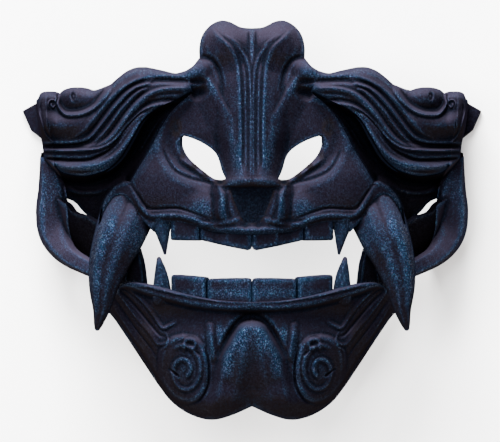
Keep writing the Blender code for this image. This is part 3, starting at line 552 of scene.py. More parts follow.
# Painted glints and shade: where the glitter is painted strong (a positive lift), and where it is dulled
# and, further down, darkened as painted shade (a negative one).
PAINTED_GLINTS_AND_SHADE = (
    Mound(5.2, 50, 6.93, 37.5, 0.3),
    Mound(6.5, 31, 3.46, 9, 0.45),
    Mound(10.4, 89, 12.99, 13, -0.35),
    Mound(0.9, 90, 5.2, 13, 0.45),
    Mound(32.9, 50, 8.66, 13, -0.4),
    Mound(20.4, 55, 6.06, 13, -0.25),
    Mound(0, 18, 15.59, 4, -0.5),
    Mound(12.6, 5, 2.6, 10, 0.8),
    Mound(21.2, 5, 7.79, 10, 0.45),
    Mound(44.2, 12.5, 12.99, 14, -0.35),
    Mound(32.9, 45, 4.76, 8, -0.5),
    Mound(29.9, 32, 3.46, 6, -0.6),
    Mound(24.7, 27, 4.33, 4, -0.7),
    Mound(19.5, 23, 4.33, 3.5, -0.8),
    Mound(13.9, 19, 4.76, 3.5, -0.9),
    Mound(56.3, 58, 12.99, 12, 0.35),
    Mound(68.4, 27, 11.26, 5, 0.85),
    Mound(89.2, 52, 6.93, 16, -0.4),
    Mound(74.5, 63, 11.26, 7, -0.35),
    Mound(77.1, 46, 10.39, 7, -0.3),
    Mound(56.3, 8.5, 3.46, 6.5, 0.5),
    Mound(60.2, -1, 3.03, 8, 0.55),
    Mound(64.5, -15, 2.6, 10, 0.6),
    Mound(66.2, -30, 2.17, 10, 0.65),
    Mound(66.7, -41, 1.73, 7, 0.5),
    Mound(55, -12.5, 6.06, 20, -0.3),
    Mound(87.5, 15, 5.2, 17, 0.3),
    Mound(81.4, -10, 6.06, 9, 0.25),
    Mound(22.5, -29.5, 6.93, 5.5, 0.8),
    Mound(8.7, -30.5, 8.66, 4.5, 0.5),
    Mound(0, -36.5, 51.96, 4.5, 0.8),
    Mound(0, -65, 12.99, 23, 0.3),
    Mound(5.2, -57.5, 5.2, 13, 0.75),
    Mound(10.4, -71, 3.9, 12, 0.85),
    Mound(13.9, -56, 2.6, 8, 0.8),
    Mound(19.5, -64, 3.9, 14, 0.6),
    Mound(27.7, -72, 7.79, 13, 0.5),
    Mound(19.9, -46, 6.93, 5, 0.2),
    Mound(37.7, -43, 11.26, 11, -0.6),
    Mound(46.3, -60, 9.53, 27, -0.6),
    Mound(16, -94, 19.05, 9, -0.55),
)
# Painted shade under the nose, which turns the plastic deep dark.
PAINTED_SHADE_AREAS = (
    Terrace(-1.1, 2.2, ((10, 15.5), (7.4, 7), (3.9, -1), (0, -2), (-7.8, -2), (-12.1, 15.5))),
)
CHIN_KNOB = (
    (0, -49.5), (2.6, -50.2), (4.8, -52.5), (6.9, -56.5), (9.3, -61), (11.5, -66.5), (13.4, -73),
    (15.2, -80), (16.7, -88), (18.2, -95), (19.1, -103), (0, -104), (-16.5, -103), (-20.8, -80),
    (-7.8, -55),
)
# Down the chin: the knob's lift, and the width and depth of the valley that splits it.
KNOB_EDGE = 3.4
KNOB_DOWNS, KNOB_LIFTS = (48, 53, 60, 75, 90, 100), (4, 8.5, 9, 6.8, 4, 2)
VALLEY_WIDTH_DOWNS, VALLEY_WIDTHS = (55, 70, 85, 100), (3, 6, 10, 13)
VALLEY_DEPTH_DOWNS, VALLEY_DEPTHS = (60, 72, 84, 100), (0, 2.6, 4.4, 4)

UPPER_TEETH = (
    Tooth("upper_incisor", 0, 22.7, -15.2, -10.6, 5),
    Tooth("upper_side_tooth", 23.1, 35.7, -10.4, -10.2, 5),
)
LOWER_TEETH = (
    Tooth("lower_incisor", 0, 19.6, -28.9, -29.2, -45),
    Tooth("lower_side_tooth", 20.2, 35.5, -28.4, -27.3, -45),
)
TOOTH_THICKNESS = 5.5
# The corners of a tooth's tip: a share of its width, and the rounding in shares of the corner.
TOOTH_CORNER = 0.11
INNER_CORNER = ((0, 0.8), (0.2, 0.25), (0.8, 0))
OUTER_CORNER = ((0.8, 0), (0.2, 0.25), (0, 0.9))
TIP_BULGE = 0.06

TUSK = (
    Ring(50.5, 12, 62, 12.7),
    Ring(53.7, 3, 70, 14.5),
    Ring(57.4, -8, 79, 13.8),
    Ring(61.6, -20.5, 82, 11.3),
    Ring(64.0, -32.5, 83, 8.4),
    Ring(65.0, -44, 82, 5.0),
    Ring(66.3, -51.5, 80.2, 2.7),
    Ring(66.8, -54, 79.5, 1.6),
)
SIDE_HORN = (
    Ring(91.2, 34, 28, 1.0),
    Ring(89.8, 29, 27.5, 3.3),
    Ring(88.0, 22, 26, 6.0),
    Ring(86.9, 14, 24, 8.0),
    Ring(86.9, 5, 23, 9.0),
    Ring(86.2, -5, 25, 8.8),
    Ring(83.5, -12.5, 31, 7.5),
    Ring(78.8, -18.5, 40, 5.8),
    Ring(71.0, -23.5, 50, 4.8),
    Ring(63.5, -27, 56, 4.3),
)
UPPER_FANG = ((39.5, 4, 5.2), (38.9, -3, 4.9), (38.4, -8, 3.4), (37.9, -13, 2.0), (37.6, -16.6, 0.9))
LOWER_FANG = ((39.3, -43, 5.0), (39, -35, 5.0), (39.2, -29, 4.0), (39.6, -24.5, 2.9), (40.2, -19.4, 1.2))

TAB_INSET = 0.2
TAB_BEVEL = 0.5
TAB_ROOT_UPS = (59, 53, 47, 41)
TAB_TIP_UP = 55
TAB_SHOULDER = (0.55, 0.3)


def smooth_value(places, stops, values):
    """A smooth curve through (stops, values), read at places. The stops run upwards."""
    stops = np.asarray(stops, float)
    values = np.asarray(values, float)
    slopes = np.gradient(values, stops)
    places = np.clip(places, stops[0], stops[-1])
    span = np.clip(np.searchsorted(stops, places, side="right") - 1, 0, len(stops) - 2)
    width = stops[span + 1] - stops[span]
    t = (places - stops[span]) / width
    return (
        values[span] * (1 + 2 * t) * (1 - t) ** 2
        + slopes[span] * width * t * (1 - t) ** 2
        + values[span + 1] * t**2 * (3 - 2 * t)
        + slopes[span + 1] * width * t**2 * (t - 1)
    )


def section_value(sections, column, up):
    """One column of a table of sections, read at heights up."""
    rows = sorted(sections)
    return smooth_value(up, [row.up for row in rows], [getattr(row, column) for row in rows])


def smooth_run(points, steps):
    """A smooth curve through the points, with so many steps between each two."""
    points = np.asarray(points, float)
    stops = np.arange(len(points))
    places = np.linspace(0, len(points) - 1, steps * (len(points) - 1) + 1)
    if len(points) < 3:
        return np.stack([np.interp(places, stops, column) for column in points.T], axis=1)
    return np.stack([smooth_value(places, stops, column) for column in points.T], axis=1)


def smooth_step(t):
    t = np.clip(t, 0, 1)
    return t * t * (3 - 2 * t)


def eased(values, stretch):
    """0 at the start of a stretch, 1 at its end, and smooth between them."""
    return smooth_step((values - stretch[0]) / (stretch[1] - stretch[0]))


def on_left(places):
    """The same places, or their mirror images, on the wearer's left."""
    return np.column_stack([np.abs(places[:, 0]), places[:, 1]])


def path_reading(places, path):
    """For each place: how far it is from a path, how far along its nearest point is, and which side."""
    best = np.full(len(places), np.inf)
    along = np.zeros(len(places))
    side = np.zeros(len(places))
    for index, (start, end) in enumerate(zip(path[:-1], path[1:])):
        step = end - start
        length = step @ step
        if length == 0:
            continue
        offset = places - start
        t = np.clip(offset @ step / length, 0, 1)
        miss = offset - t[:, None] * step
        distance = np.sqrt(miss[:, 0] ** 2 + miss[:, 1] ** 2)
        nearer = distance < best
        best = np.where(nearer, distance, best)
        along = np.where(nearer, index + t, along)
        side = np.where(nearer, step[0] * offset[:, 1] - step[1] * offset[:, 0], side)
    return best, along, side


def near(places, path, reach):
    """The places within reach of a path's box."""
    low, high = path.min(0) - reach, path.max(0) + reach
    return np.flatnonzero(((places >= low) & (places <= high)).all(1))


def inside(places, loop):
    """Which places a closed loop holds, by counting crossings."""
    held = np.zeros(len(places), bool)
    for (x0, y0), (x1, y1) in zip(loop, np.roll(loop, -1, axis=0)):
        if y0 == y1:
            continue
        crosses = (places[:, 1] < y0) != (places[:, 1] < y1)
        held ^= crosses & (places[:, 0] < x0 + (places[:, 1] - y0) * (x1 - x0) / (y1 - y0))
    return held


def depth_inside(places, loop):
    """How deep places lie inside a loop that ends where it starts. It is negative outside."""
    distance, _, _ = path_reading(places, loop)
    return np.where(inside(places, loop[:-1]), distance, -distance)


class HeadForm:
    """The plain form that the shells follow, and the scale of the tables."""

    def __init__(self, sizes):
        self.front = np.array([sizes.width, sizes.height]) / (2 * HUNDREDTHS)
        self.depth = sizes.depth / HUNDREDTHS
        self.wall = sizes.wall
        self.carving = sizes.carving
        self.spacing = sizes.spacing * 1.0 / MM

    def half_width(self, y):
        return section_value(HEAD_FORM, "half_width", y / self.front[1]) * self.front[0]

    def point(self, angle, y, inset=0.0):
        """(x, z) of the form, drawn in by inset: angle 0 is the middle line, a quarter turn the rim."""
        deep = section_value(HEAD_FORM, "depth", y / self.front[1]) * self.depth
        return (self.half_width(y) - inset) * np.sin(angle), (deep - inset) * np.cos(angle)

    def angle(self, places, inset=0.0):
        return np.arcsin(np.clip(places[:, 0] / (self.half_width(places[:, 1]) - inset), -1, 1))

    def raised(self, angle, lift):
        """How much higher the surface lies, for a lift in millimetres along the form's normal."""
        slope = np.maximum(np.cos(angle), LEAST_SLOPE)
        fade = np.clip((math.pi / 2 - np.abs(angle)) / RIM_FADE, 0, 1)
        return lift * MM / slope * fade

    def surface(self, places, lift_at, inset=0.0):
        """The heights z of a shell's face at places seen from the front."""
        angle = self.angle(places, inset)
        _, z = self.point(angle, places[:, 1], inset)
        return z + self.raised(angle, lift_at(self, places))

    def flat(self, places):
        """Places seen from the front, laid out flat in millimetres."""
        return np.column_stack([self.angle(places) * FLAT_RADIUS, places[:, 1] / MM])

    def run(self, run):
        return self.flat(smooth_run(run, RUN_STEPS) * self.front)


def mound_lift(form, places, mound):
    across, up = (places / form.front).T
    across = (across - mound.across) / mound.reach_across
    up = (up - mound.up) / mound.reach_up
    return mound.lift * np.clip(1 - across**2 - up**2, 0, 1) ** 2


def crest_lift(form, places, crest):
    """A crest, or a groove where its lift is negative, with a width of its own on each side."""
    table = smooth_run(crest.points, PATH_STEPS)
    path = table[:, :2] * form.front
    lift = np.zeros(len(places))
    held = near(places, path, max(crest.left, crest.right) * MM)
    if not len(held):
        return lift
    distance, along, side = path_reading(places[held], path)
    share = np.interp(along, np.arange(len(table)), table[:, 2])
    t = np.clip(distance / (np.where(side > 0, crest.left, crest.right) * MM), 0, 1)
    profile = crest.sharpness * (1 - t) ** RIDGE_POWER + (1 - crest.sharpness) * (1 - t * t) ** 2
    lift[held] = crest.lift * form.carving * np.clip(share, 0, None) * profile
    return lift


def terrace_lift(form, places, terrace):
    """A flat raised or sunk area whose edge slopes over a width."""
    loop = smooth_run([*terrace.points, terrace.points[0]], PATH_STEPS) * form.front
    lift = np.zeros(len(places))
    reach = terrace.edge * MM
    held = near(places, loop, reach)
    if len(held):
        lift[held] = terrace.lift * smooth_step(0.5 + depth_inside(places[held], loop) / reach / 2)
    return lift


def carved(form, places, mounds=(), terraces=(), crests=()):
    """The summed reliefs, which are the same on both sides of the face."""
    places = on_left(places)
    lift = np.zeros(len(places))
    for reliefs, lift_of in ((mounds, mound_lift), (terraces, terrace_lift), (crests, crest_lift)):
        for relief in reliefs:
            lift += lift_of(form, places, relief)
    return lift


def bridge_lift(form, places):
    """The nose and its bridge: a band with rounded sides that stands out most at the tip."""
    up = places[:, 1] / form.front[1]
    half_width = section_value(NOSE, "half_width", up) * form.front[0]
    middle = smooth_step(1 - (places[:, 0] / half_width) ** 2)
    return section_value(NOSE, "lift", up) * middle


def face_only_lift(form, places):
    return bridge_lift(form, places) + carved(form, places, FACE_MOUNDS, FACE_TERRACES, FACE_CRESTS)


def brow_lift(form, places):
    stops, lifts = zip(*BROW_LIFTS)
    body = smooth_value(np.abs(places[:, 0]) / form.front[0], stops, lifts)
    return body + carved(form, places, BROW_MOUNDS, BROW_TERRACES, BROW_CRESTS)


def face_lift(form, places):
    """The face, which turns into the brow where the two meet beside the crown."""
    across = np.abs(places[:, 0]) / form.front[0]
    up = places[:, 1] / form.front[1]
    share = eased(across, BLEND_ACROSS) * eased(up, BLEND_UP)
    lift = face_only_lift(form, places)
    held = np.flatnonzero(share > 0)
    lift[held] += share[held] * (brow_lift(form, places[held]) - lift[held])
    return lift


def temple_lift(form, places):
    """The sunk wall under the brow, which curves up to the shells beside it."""
    lift = carved(form, places, crests=TEMPLE_CRESTS) - TEMPLE_SINK
    for path, neighbour in (
        (HORN_SEAT + BROW_UNDERSIDE[1:], brow_lift),
        (CHEEK_CREASE + HOOD_EDGE[1:], face_only_lift),
    ):
        distance, _, _ = path_reading(on_left(places), smooth_run(path, PATH_STEPS) * form.front)
        close = np.flatnonzero(distance < TEMPLE_RISE * MM)
        share = (1 - distance[close] / (TEMPLE_RISE * MM)) ** 2
        rise = neighbour(form, places[close]) - TEMPLE_DROP - lift[close]
        lift[close] += share * np.maximum(rise, 0)
    return lift


def arm_lift(form, places):
    return carved(form, places, crests=ARM_CRESTS)


def jaw_lift(form, places):
    body = carved(form, places, JAW_MOUNDS, JAW_TERRACES, JAW_CRESTS + SWIRL_CRESTS)
    return body + chin_lift(form, places)


def chin_lift(form, places):
    """The chin's knob, which stands out most near its apex and is split by a valley at the foot."""
    places = on_left(places)
    down = -places[:, 1] / form.front[1]
    loop = smooth_run([*CHIN_KNOB, CHIN_KNOB[0]], PATH_STEPS) * form.front
    edge = smooth_step(0.5 + depth_inside(places, loop) / (KNOB_EDGE * MM) / 2)
    width = np.interp(down, VALLEY_WIDTH_DOWNS, VALLEY_WIDTHS) * MM
    valley = np.clip(1 - (places[:, 0] / width) ** 2, 0, 1) ** 2
    valley = valley * np.interp(down, VALLEY_DEPTH_DOWNS, VALLEY_DEPTHS)
    return edge * smooth_value(down, KNOB_DOWNS, KNOB_LIFTS) - valley


def hollow_of(lift_at):
    """The lift of an inner face, which follows the outer one less strongly where that is raised."""

    def lift(form, places):
        raised = lift_at(form, places)
        return np.where(raised > 0, raised * INNER_SHARE, raised) - INNER_DROP

    return lift


def resampled(points, spacing):
    """A run with even steps. Its last point is left off, because the next run starts there."""
    lengths = np.linalg.norm(np.diff(points, axis=0), axis=1)
    reached = np.concatenate([[0], np.cumsum(lengths)])
    count = max(1, round(reached[-1] / spacing))
    places = np.linspace(0, reached[-1], count + 1)[:-1]
    return np.column_stack([np.interp(places, reached, column) for column in points.T])


def closed_loop(form, runs, halved):
    """A piece's outline laid out flat. A halved one is drawn on the left and mirrored."""
    loop = np.concatenate([resampled(form.run(run), form.spacing) for run in runs])
    if not halved:
        return loop
    last = form.run(runs[-1])[-1:]
    return np.concatenate([loop, last, loop[:0:-1] * (-1, 1)])


def inward(loop):
    """The inward directions at a loop's points."""
    ahead = np.roll(loop, -1, axis=0)
    behind = np.roll(loop, 1, axis=0)
    area = np.sum(loop[:, 0] * ahead[:, 1] - ahead[:, 0] * loop[:, 1])
    along = ahead - behind
    along /= np.linalg.norm(along, axis=1)[:, None]
    return np.column_stack([-along[:, 1], along[:, 0]]) * np.sign(area)


def edge_distances(places, loops):
    """How far places are from the points of the loops."""
    edge = np.concatenate(loops)
    found = np.empty(len(places))
    for start in range(0, len(places), BATCH):
        gap = places[start : start + BATCH, None, :] - edge[None, :, :]
        found[start : start + BATCH] = np.sqrt((gap**2).sum(2).min(1))
    return found


def held_by(places, loops):
    held = inside(places, loops[0])
    for hole in loops[1:]:
        held &= ~inside(places, hole)
    return held


def filling(loops, spacing, rings):
    """Points inside the loops: rings near the edges, then a hexagonal grid."""
    points = []
    for distance in rings:
        for index, loop in enumerate(loops):
            turned = -1 if index else 1
            ring = loop + inward(loop) * distance * turned
            ring = ring[held_by(ring, loops)]
            points.append(ring[edge_distances(ring, loops) > distance * RING_CLEARANCE])
    margin = rings[-1] + spacing * GRID_CLEARANCE
    low, high = loops[0].min(0), loops[0].max(0)
    row = spacing * math.sqrt(3) / 2
    ys = np.arange(low[1], high[1], row)
    xs = np.arange(low[0], high[0], spacing)
    grid = np.array([(x + (index % 2) * spacing / 2, y) for index, y in enumerate(ys) for x in xs])
    grid = grid[held_by(grid, loops)]
    points.append(grid[edge_distances(grid, loops) > margin])
    return np.concatenate(points)


def triangulated(loops, extra):
    """Triangles over the inside of the loops, through the extra points too."""
    rim = sum(len(loop) for loop in loops)
    edges = []
    start = 0
    for loop in loops:
        count = len(loop)
        edges += [(start + step, start + (step + 1) % count) for step in range(count)]
        start += count
    points = np.concatenate([*loops, extra])
    vectors = [Vector(point) for point in points]
    made = delaunay_2d_cdt(vectors, edges, [], 0, MERGE_DISTANCE, False)
    points = np.array([tuple(point) for point in made[0]])
    faces = np.array(made[2])
    held = np.ones(len(faces), bool)
    on_rim = np.flatnonzero((faces < rim).all(1))
    held[on_rim] = held_by(points[faces[on_rim]].mean(1), loops)
    faces = faces[held]
    corners = points[faces]
    first, second = corners[:, 1] - corners[:, 0], corners[:, 2] - corners[:, 0]
    turned = first[:, 0] * second[:, 1] - first[:, 1] * second[:, 0] < 0
    faces[turned] = faces[turned][:, ::-1]
    return points, faces


def edge_drop(form, flat, rolls):
    """How far the surface has rolled over, in millimetres, towards the runs of each roll."""
    drop = np.zeros(len(flat))
    for roll in rolls:
        for run in roll.runs:
            path = form.run(run)
            held = near(flat, path, roll.radius)
            if len(held):
                distance, _, _ = path_reading(flat[held], path)
                t = np.clip(1 - distance / roll.radius, 0, 1)
                drop[held] = np.maximum(drop[held], roll.drop * (1 - np.sqrt(1 - t * t)))
    return drop


def raised_face(form, flat, inset, lift_at, rolls=()):
    """The points (x, y, z) of a shell's face over points laid out flat."""
    angle, y = flat[:, 0] / FLAT_RADIUS, flat[:, 1] * MM
    x, z = form.point(angle, y, inset)
    lift = lift_at(form, np.column_stack([x, y])) - edge_drop(form, on_left(flat), rolls)
    return np.column_stack([x, y, z + form.raised(angle, lift)])


def shell_piece(form, runs, lift_at, rolls=(), holes=(), halved=False, inset=0.0, wall=None):
    """A closed piece of shell: a finely carved outer face, its walls, and a plainer inner face."""
    wall = form.wall if wall is None else wall
    loops = [closed_loop(form, runs, halved)]
    for hole in holes:
        loop = closed_loop(form, hole, False)
        loops += [loop, loop[::-1] * (-1, 1)] if halved else [loop]
    flat, faces = triangulated(loops, filling(loops, form.spacing, RING_DISTANCES))
    rim = sum(len(loop) for loop in loops)
    outer = raised_face(form, flat, inset, lift_at, rolls)

    flat_in, faces_in = triangulated(loops, filling(loops, INNER_SPACING, (INNER_SPACING / 2,)))
    inner = raised_face(form, flat_in, inset + wall, hollow_of(lift_at))
    over = raised_face(form, flat_in, inset, lift_at, rolls)
    least_wall = wall * WALL_SHARE * np.cos(flat_in[:, 0] / FLAT_RADIUS)
    inner[:, 2] = np.minimum(inner[:, 2], over[:, 2] - least_wall)

    points = np.concatenate([outer, inner])
    points[:, 2] = np.maximum(points[:, 2], 0)
    count = len(flat)
    quads = [
        (end, start, count + start, count + end)
        for start, end in rim_edges(faces)
        if start < rim and end < rim
    ]
    return Shell(points, [*map(tuple, faces), *quads, *map(tuple, faces_in[:, ::-1] + count)])


def rim_edges(faces):
    """The directed edges that only one triangle has."""
    edges = np.concatenate([faces[:, [0, 1]], faces[:, [1, 2]], faces[:, [2, 0]]])
    key = edges.min(1).astype(np.int64) * (faces.max() + 1) + edges.max(1)
    _, first, counts = np.unique(key, return_index=True, return_counts=True)
    return [tuple(int(value) for value in edges[index]) for index in first[counts == 1]]


def mirrored(shell):
    return Shell(shell.points * (-1, 1, 1), [face[::-1] for face in shell.faces])


def new_piece(name, shell, material):
    """Makes a shaded mesh with its marks for the painted glints, sheen and shade, and puts it in the scene
    as a piece.
    """
    mesh = bpy.data.meshes.new(name)
    mesh.from_pydata(shell.points.tolist(), [], shell.faces)
    mesh.materials.append(material)
    mesh.update()
    mesh.shade_smooth()
    mesh.set_sharp_from_angle(angle=SHARP_ANGLE)
    mark_painted_glint_and_shade(mesh)
    if len(mesh.vertices) > LEAST_MARKED:
        mark_relief(mesh)
    piece = bpy.data.objects.new(name, mesh)
    bpy.context.scene.collection.objects.link(piece)
    return piece


def vertex_vectors(mesh, name):
    """The places ("co") or normals of a mesh's vertices."""
    values = np.empty(len(mesh.vertices) * 3)
    mesh.vertices.foreach_get(name, values)
    return values.reshape(-1, 3)


def store(mesh, name, values):
    """Keeps one number for each vertex, for the material."""
    values = values.astype(np.float32)
    mesh.attributes.new(name, "FLOAT", "POINT").data.foreach_set("value", values)


def mark_relief(mesh):
    """Stores how far each point stands above (crest) or below (hollow) its surroundings."""
    count = len(mesh.vertices)
    points = vertex_vectors(mesh, "co")
    normals = vertex_vectors(mesh, "normal")
    edges = np.empty(len(mesh.edges) * 2, np.int64)
    mesh.edges.foreach_get("vertices", edges)
    edges = edges.reshape(-1, 2)
    ends = np.concatenate([edges[:, 0], edges[:, 1]])
    others = np.concatenate([edges[:, 1], edges[:, 0]])
    links = np.maximum(np.bincount(ends, minlength=count), 1)
    smoothed = points
    readings = {}
    for step in range(1, BROAD_STEPS + 1):
        summed = [np.bincount(ends, smoothed[others, axis], count) for axis in range(3)]
        smoothed = (smoothed + np.column_stack(summed) / links[:, None]) / 2
        if step in (FINE_STEPS, BROAD_STEPS):
            readings[step] = ((points - smoothed) * normals).sum(1) / MM
    fine = readings[FINE_STEPS] / FULL_FINE_RELIEF
    broad = readings[BROAD_STEPS] / FULL_BROAD_RELIEF
    for name, values in (("crest", fine), ("hollow", -fine), ("broad_crest", broad)):
        store(mesh, name, np.clip(values, 0, 1))


def mark_painted_glint_and_shade(mesh):
    """Stores the painted glints and shade: where the glitter is painted strongest (up to 1), and where it is
    dulled and darkened as painted shade (down to -1).
    """
    places = vertex_vectors(mesh, "co")[:, :2]
    values = carved(current_form(), places, PAINTED_GLINTS_AND_SHADE, PAINTED_SHADE_AREAS)
    store(mesh, "painted_glint_and_shade", np.clip(values, -1, 1))


def stand_for(piece, node):
    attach(piece, "root")
    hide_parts(node)


def new_pair(base, shell, material):
    """A left piece and its mirror image."""
    for side, made in zip(SIDES, (shell, mirrored(shell))):
        node = f"{base}_{side}"
        stand_for(new_piece(node + "_skin", made, material), node)


class Wire:
    """A socket in a node tree, which takes Python's arithmetic and adds the Math nodes for it."""

    def __init__(self, maker, socket):
        self.maker = maker
        self.socket = socket

    def math(self, operation, *values):
        return self.maker.value("ShaderNodeMath", dict(enumerate((self, *values))), operation=operation)

    def __add__(self, other):
        return self.math("ADD", other)

    def __sub__(self, other):
        return self.math("SUBTRACT", other)

    def __rsub__(self, other):
        return (self * -1.0).math("ADD", other)

    def __mul__(self, other):
        return self.math("MULTIPLY", other)

    def __truediv__(self, other):
        return self.math("DIVIDE", other)

    def __pow__(self, other):
        return self.math("POWER", other)

    __radd__ = __add__
    __rmul__ = __mul__

    def clamped(self):
        return self.math("MAXIMUM", 0.0).math("MINIMUM", 1.0)

    def ramped(self, low, high):
        """0 at low, 1 at high, and smooth between them."""
        return self.maker.value(
            "ShaderNodeMapRange",
            {"Value": self, "From Min": low, "From Max": high},
            "Result",
            interpolation_type="SMOOTHSTEP",
        )


class Maker:
    """Adds nodes to one tree."""

    def __init__(self, tree):
        self.tree = tree

    def node(self, kind, inputs=None, **settings):
        """Adds a node: its settings first, then the values or links of its sockets."""
        made = self.tree.nodes.new(kind)
        for name, value in settings.items():
            setattr(made, name, value)
        for key, value in (inputs or {}).items():
            socket = self.socket_of(made, key)
            if isinstance(value, Wire):
                self.tree.links.new(value.socket, socket)
            else:
                socket.default_value = value
        return made

    @staticmethod
    def socket_of(made, key):
        for socket in made.inputs:
            if socket.identifier == key:
                return socket
        return made.inputs[key]

    def wire(self, made, output=0):
        return Wire(self, made.outputs[output])

    def value(self, kind, inputs=None, output=0, **settings):
        """Adds a node and gives the wire of one of its outputs."""
        return self.wire(self.node(kind, inputs, **settings), output)

    def mixed(self, factor, first, second):
        inputs = {"Factor_Float": factor, "A_Color": first, "B_Color": second}
        return self.value("ShaderNodeMix", inputs, 2, data_type="RGBA", blend_type="MIX")

    def vector(self, operation, *values):
        return self.value("ShaderNodeVectorMath", dict(enumerate(values)), operation=operation)

    def scaled(self, vector, scale):
        return self.value("ShaderNodeVectorMath", {0: vector, "Scale": scale}, operation="SCALE")

    def noise(self, scale, detail, place=None):
        inputs = {"Scale": scale, "Detail": detail}
        if place is not None:
            inputs["Vector"] = place
        return self.value("ShaderNodeTexNoise", inputs)

    def cells(self, place, size):
        """The random colour of the cell of that size in which each place lies."""
        inputs = {"Vector": place, "Scale": 1.0 / size}
        return self.value("ShaderNodeTexVoronoi", inputs, "Color", feature="F1")

    def attribute(self, name):
        return self.value("ShaderNodeAttribute", None, "Fac", attribute_name=name)

    def parts(self, vector):
        made = self.node("ShaderNodeSeparateXYZ", {0: vector})
        return [self.wire(made, output) for output in ("X", "Y", "Z")]


def glitter_plastic(name, looks, roughness, brightness):
    """Printed plastic with fine flakes and painted light and shade: lighter violet on faces turned up, brown
    on faces turned down, deep dark in hollows, and teal with brighter flakes on crests and patches as
    painted sheen and glints.
    """

    def tint(colour):
        return (*(channel * brightness for channel in colour[:3]), 1.0)

    material = bpy.data.materials.new(name)
    material.use_nodes = True
    make = Maker(material.node_tree)
    shader = material.node_tree.nodes["Principled BSDF"]
    shader.inputs["Specular IOR Level"].default_value = looks.specular

    place = make.value("ShaderNodeTexCoord", None, "Object")
    normal = make.value("ShaderNodeNewGeometry", None, "Normal")
    _, upward, outward = make.parts(normal)
    crest, hollow = make.attribute("crest"), make.attribute("hollow")
    broad_crest, painted_glint_and_shade = make.attribute("broad_crest"), make.attribute("painted_glint_and_shade")
    cloud = make.noise(CLOUD_SCALE, 3.0, place)

    # Where the glitter shows as painted sheen and glints: on crests and in the glint patches, less in
    # hollows as painted shade, and less on sunlit faces turned up.
    # Painted light: sunlit grows on faces turned up, which take the lighter violet; shaded grows on faces
    # turned down, which take the brown painted shade.
    sunlit = (upward + (cloud - 0.5) * 0.15).ramped(0.1, 0.85)
    shaded = (0.0 - upward + (cloud - 0.5) * 0.2).ramped(0.1, 0.5)
    shown = crest * CREST_GLITTER + broad_crest * BROAD_CREST_GLITTER + painted_glint_and_shade * PAINTED_GLINT_WEIGHT
    shown = shown + (cloud - CLOUD_LEVEL) * CLOUD_GLITTER - hollow * HOLLOW_DULLING
    shown = (shown * (1.0 - sunlit * SUNLIT_DULLING)).clamped()
    # Painted shade: the negative patches, which darken the plastic.
    painted_shade = painted_glint_and_shade * -1.0

    colour = make.mixed(sunlit, tint(looks.base), tint(looks.violet))
    # Painted shade: faces turned down turn brown, less so in the glint patches.
    colour = make.mixed(shaded * 0.8 * (1.0 - painted_glint_and_shade.clamped()), colour, tint(looks.brown))
    # Painted sheen: crests and glint patches turn teal.
    colour = make.mixed(shown * 0.75, colour, tint(looks.teal))
    # Painted shade: strong negative patches turn brown, and the strongest of them and the hollows turn deep
    # dark.
    colour = make.mixed(painted_shade.ramped(*PAINTED_SHADE_BROWN) * 0.8, colour, tint(looks.brown))
    dark = (hollow * 0.9).math("MAXIMUM", painted_shade.ramped(*PAINTED_SHADE_DEEP))
    colour = make.mixed(dark, colour, tint(looks.deep))

    # Flakes: real glitter, but mixed in brighter on crests and patches and on faces turned to the front, as
    # painted glints.
    dice = make.cells(place, looks.flake_size)
    hue, luck, _ = make.parts(dice)
    flake = luck.ramped(1.0 - looks.flake_share, 1.0 - looks.flake_share * 0.8)
    flake = flake * (0.12 + shown * 0.88) * outward.ramped(0.2, 0.7)
    colour = make.mixed(flake * 0.8, colour, make.mixed(hue, tint(looks.flake_cool), tint(looks.flake_warm)))

    # Sparks: bright flakes painted in as glints, mostly on crests and patches and on faces turned to the
    # front.
    hue, luck, _ = make.parts(make.cells(place, looks.spark_size))
    spark = luck.ramped(1.0 - looks.spark_share, 1.0 - looks.spark_share * 0.7)
    spark = spark * (0.05 + shown * 0.95) * outward.ramped(0.2, 0.6)
    colour = make.mixed(spark * 0.9, colour, make.mixed(hue, tint(looks.spark_cool), tint(looks.spark_warm)))

    jitter = make.vector("SUBTRACT", dice, (0.5, 0.5, 0.5))
    tilted = make.vector("NORMALIZE", make.vector("ADD", normal, make.scaled(jitter, FLAKE_TILT)))
    grain = make.noise(GRAIN_SCALE, 2.0, place)
    bump = {"Strength": 0.25, "Distance": GRAIN_DEPTH, "Height": grain, "Normal": tilted}
    for wire, socket in (
        (colour, "Base Color"),
        (flake * 0.6, "Metallic"),
        (roughness + (grain - 0.5) * 0.2 - flake * 0.12, "Roughness"),
        (make.value("ShaderNodeBump", bump), "Normal"),
    ):
        material.node_tree.links.new(wire.socket, shader.inputs[socket])
    return material


def named_material(name, smoothing=1.0, brightness=1.0):
    """One of the mask's plastics, which is made when it is first asked for."""
    looks = bpy.context.scene.oni_looks
    roughness = looks.roughness * smoothing
    return bpy.data.materials.get(name) or glitter_plastic(name, looks, roughness, brightness)


def shell_material():
    return named_material("shell_plastic")


# Painted shade: a darker copy of the shell plastic for the recessed temples and jaw arms.
def shaded_recess_material():
    return named_material("shaded_recess_plastic", brightness=0.35)


def horn_material():
    return named_material("horn_plastic", smoothing=0.9, brightness=0.9)


# Painted light: a brighter copy of the horn plastic for the side horns.
def lit_side_horn_material():
    return named_material("lit_side_horn_plastic", smoothing=0.9, brightness=1.7)


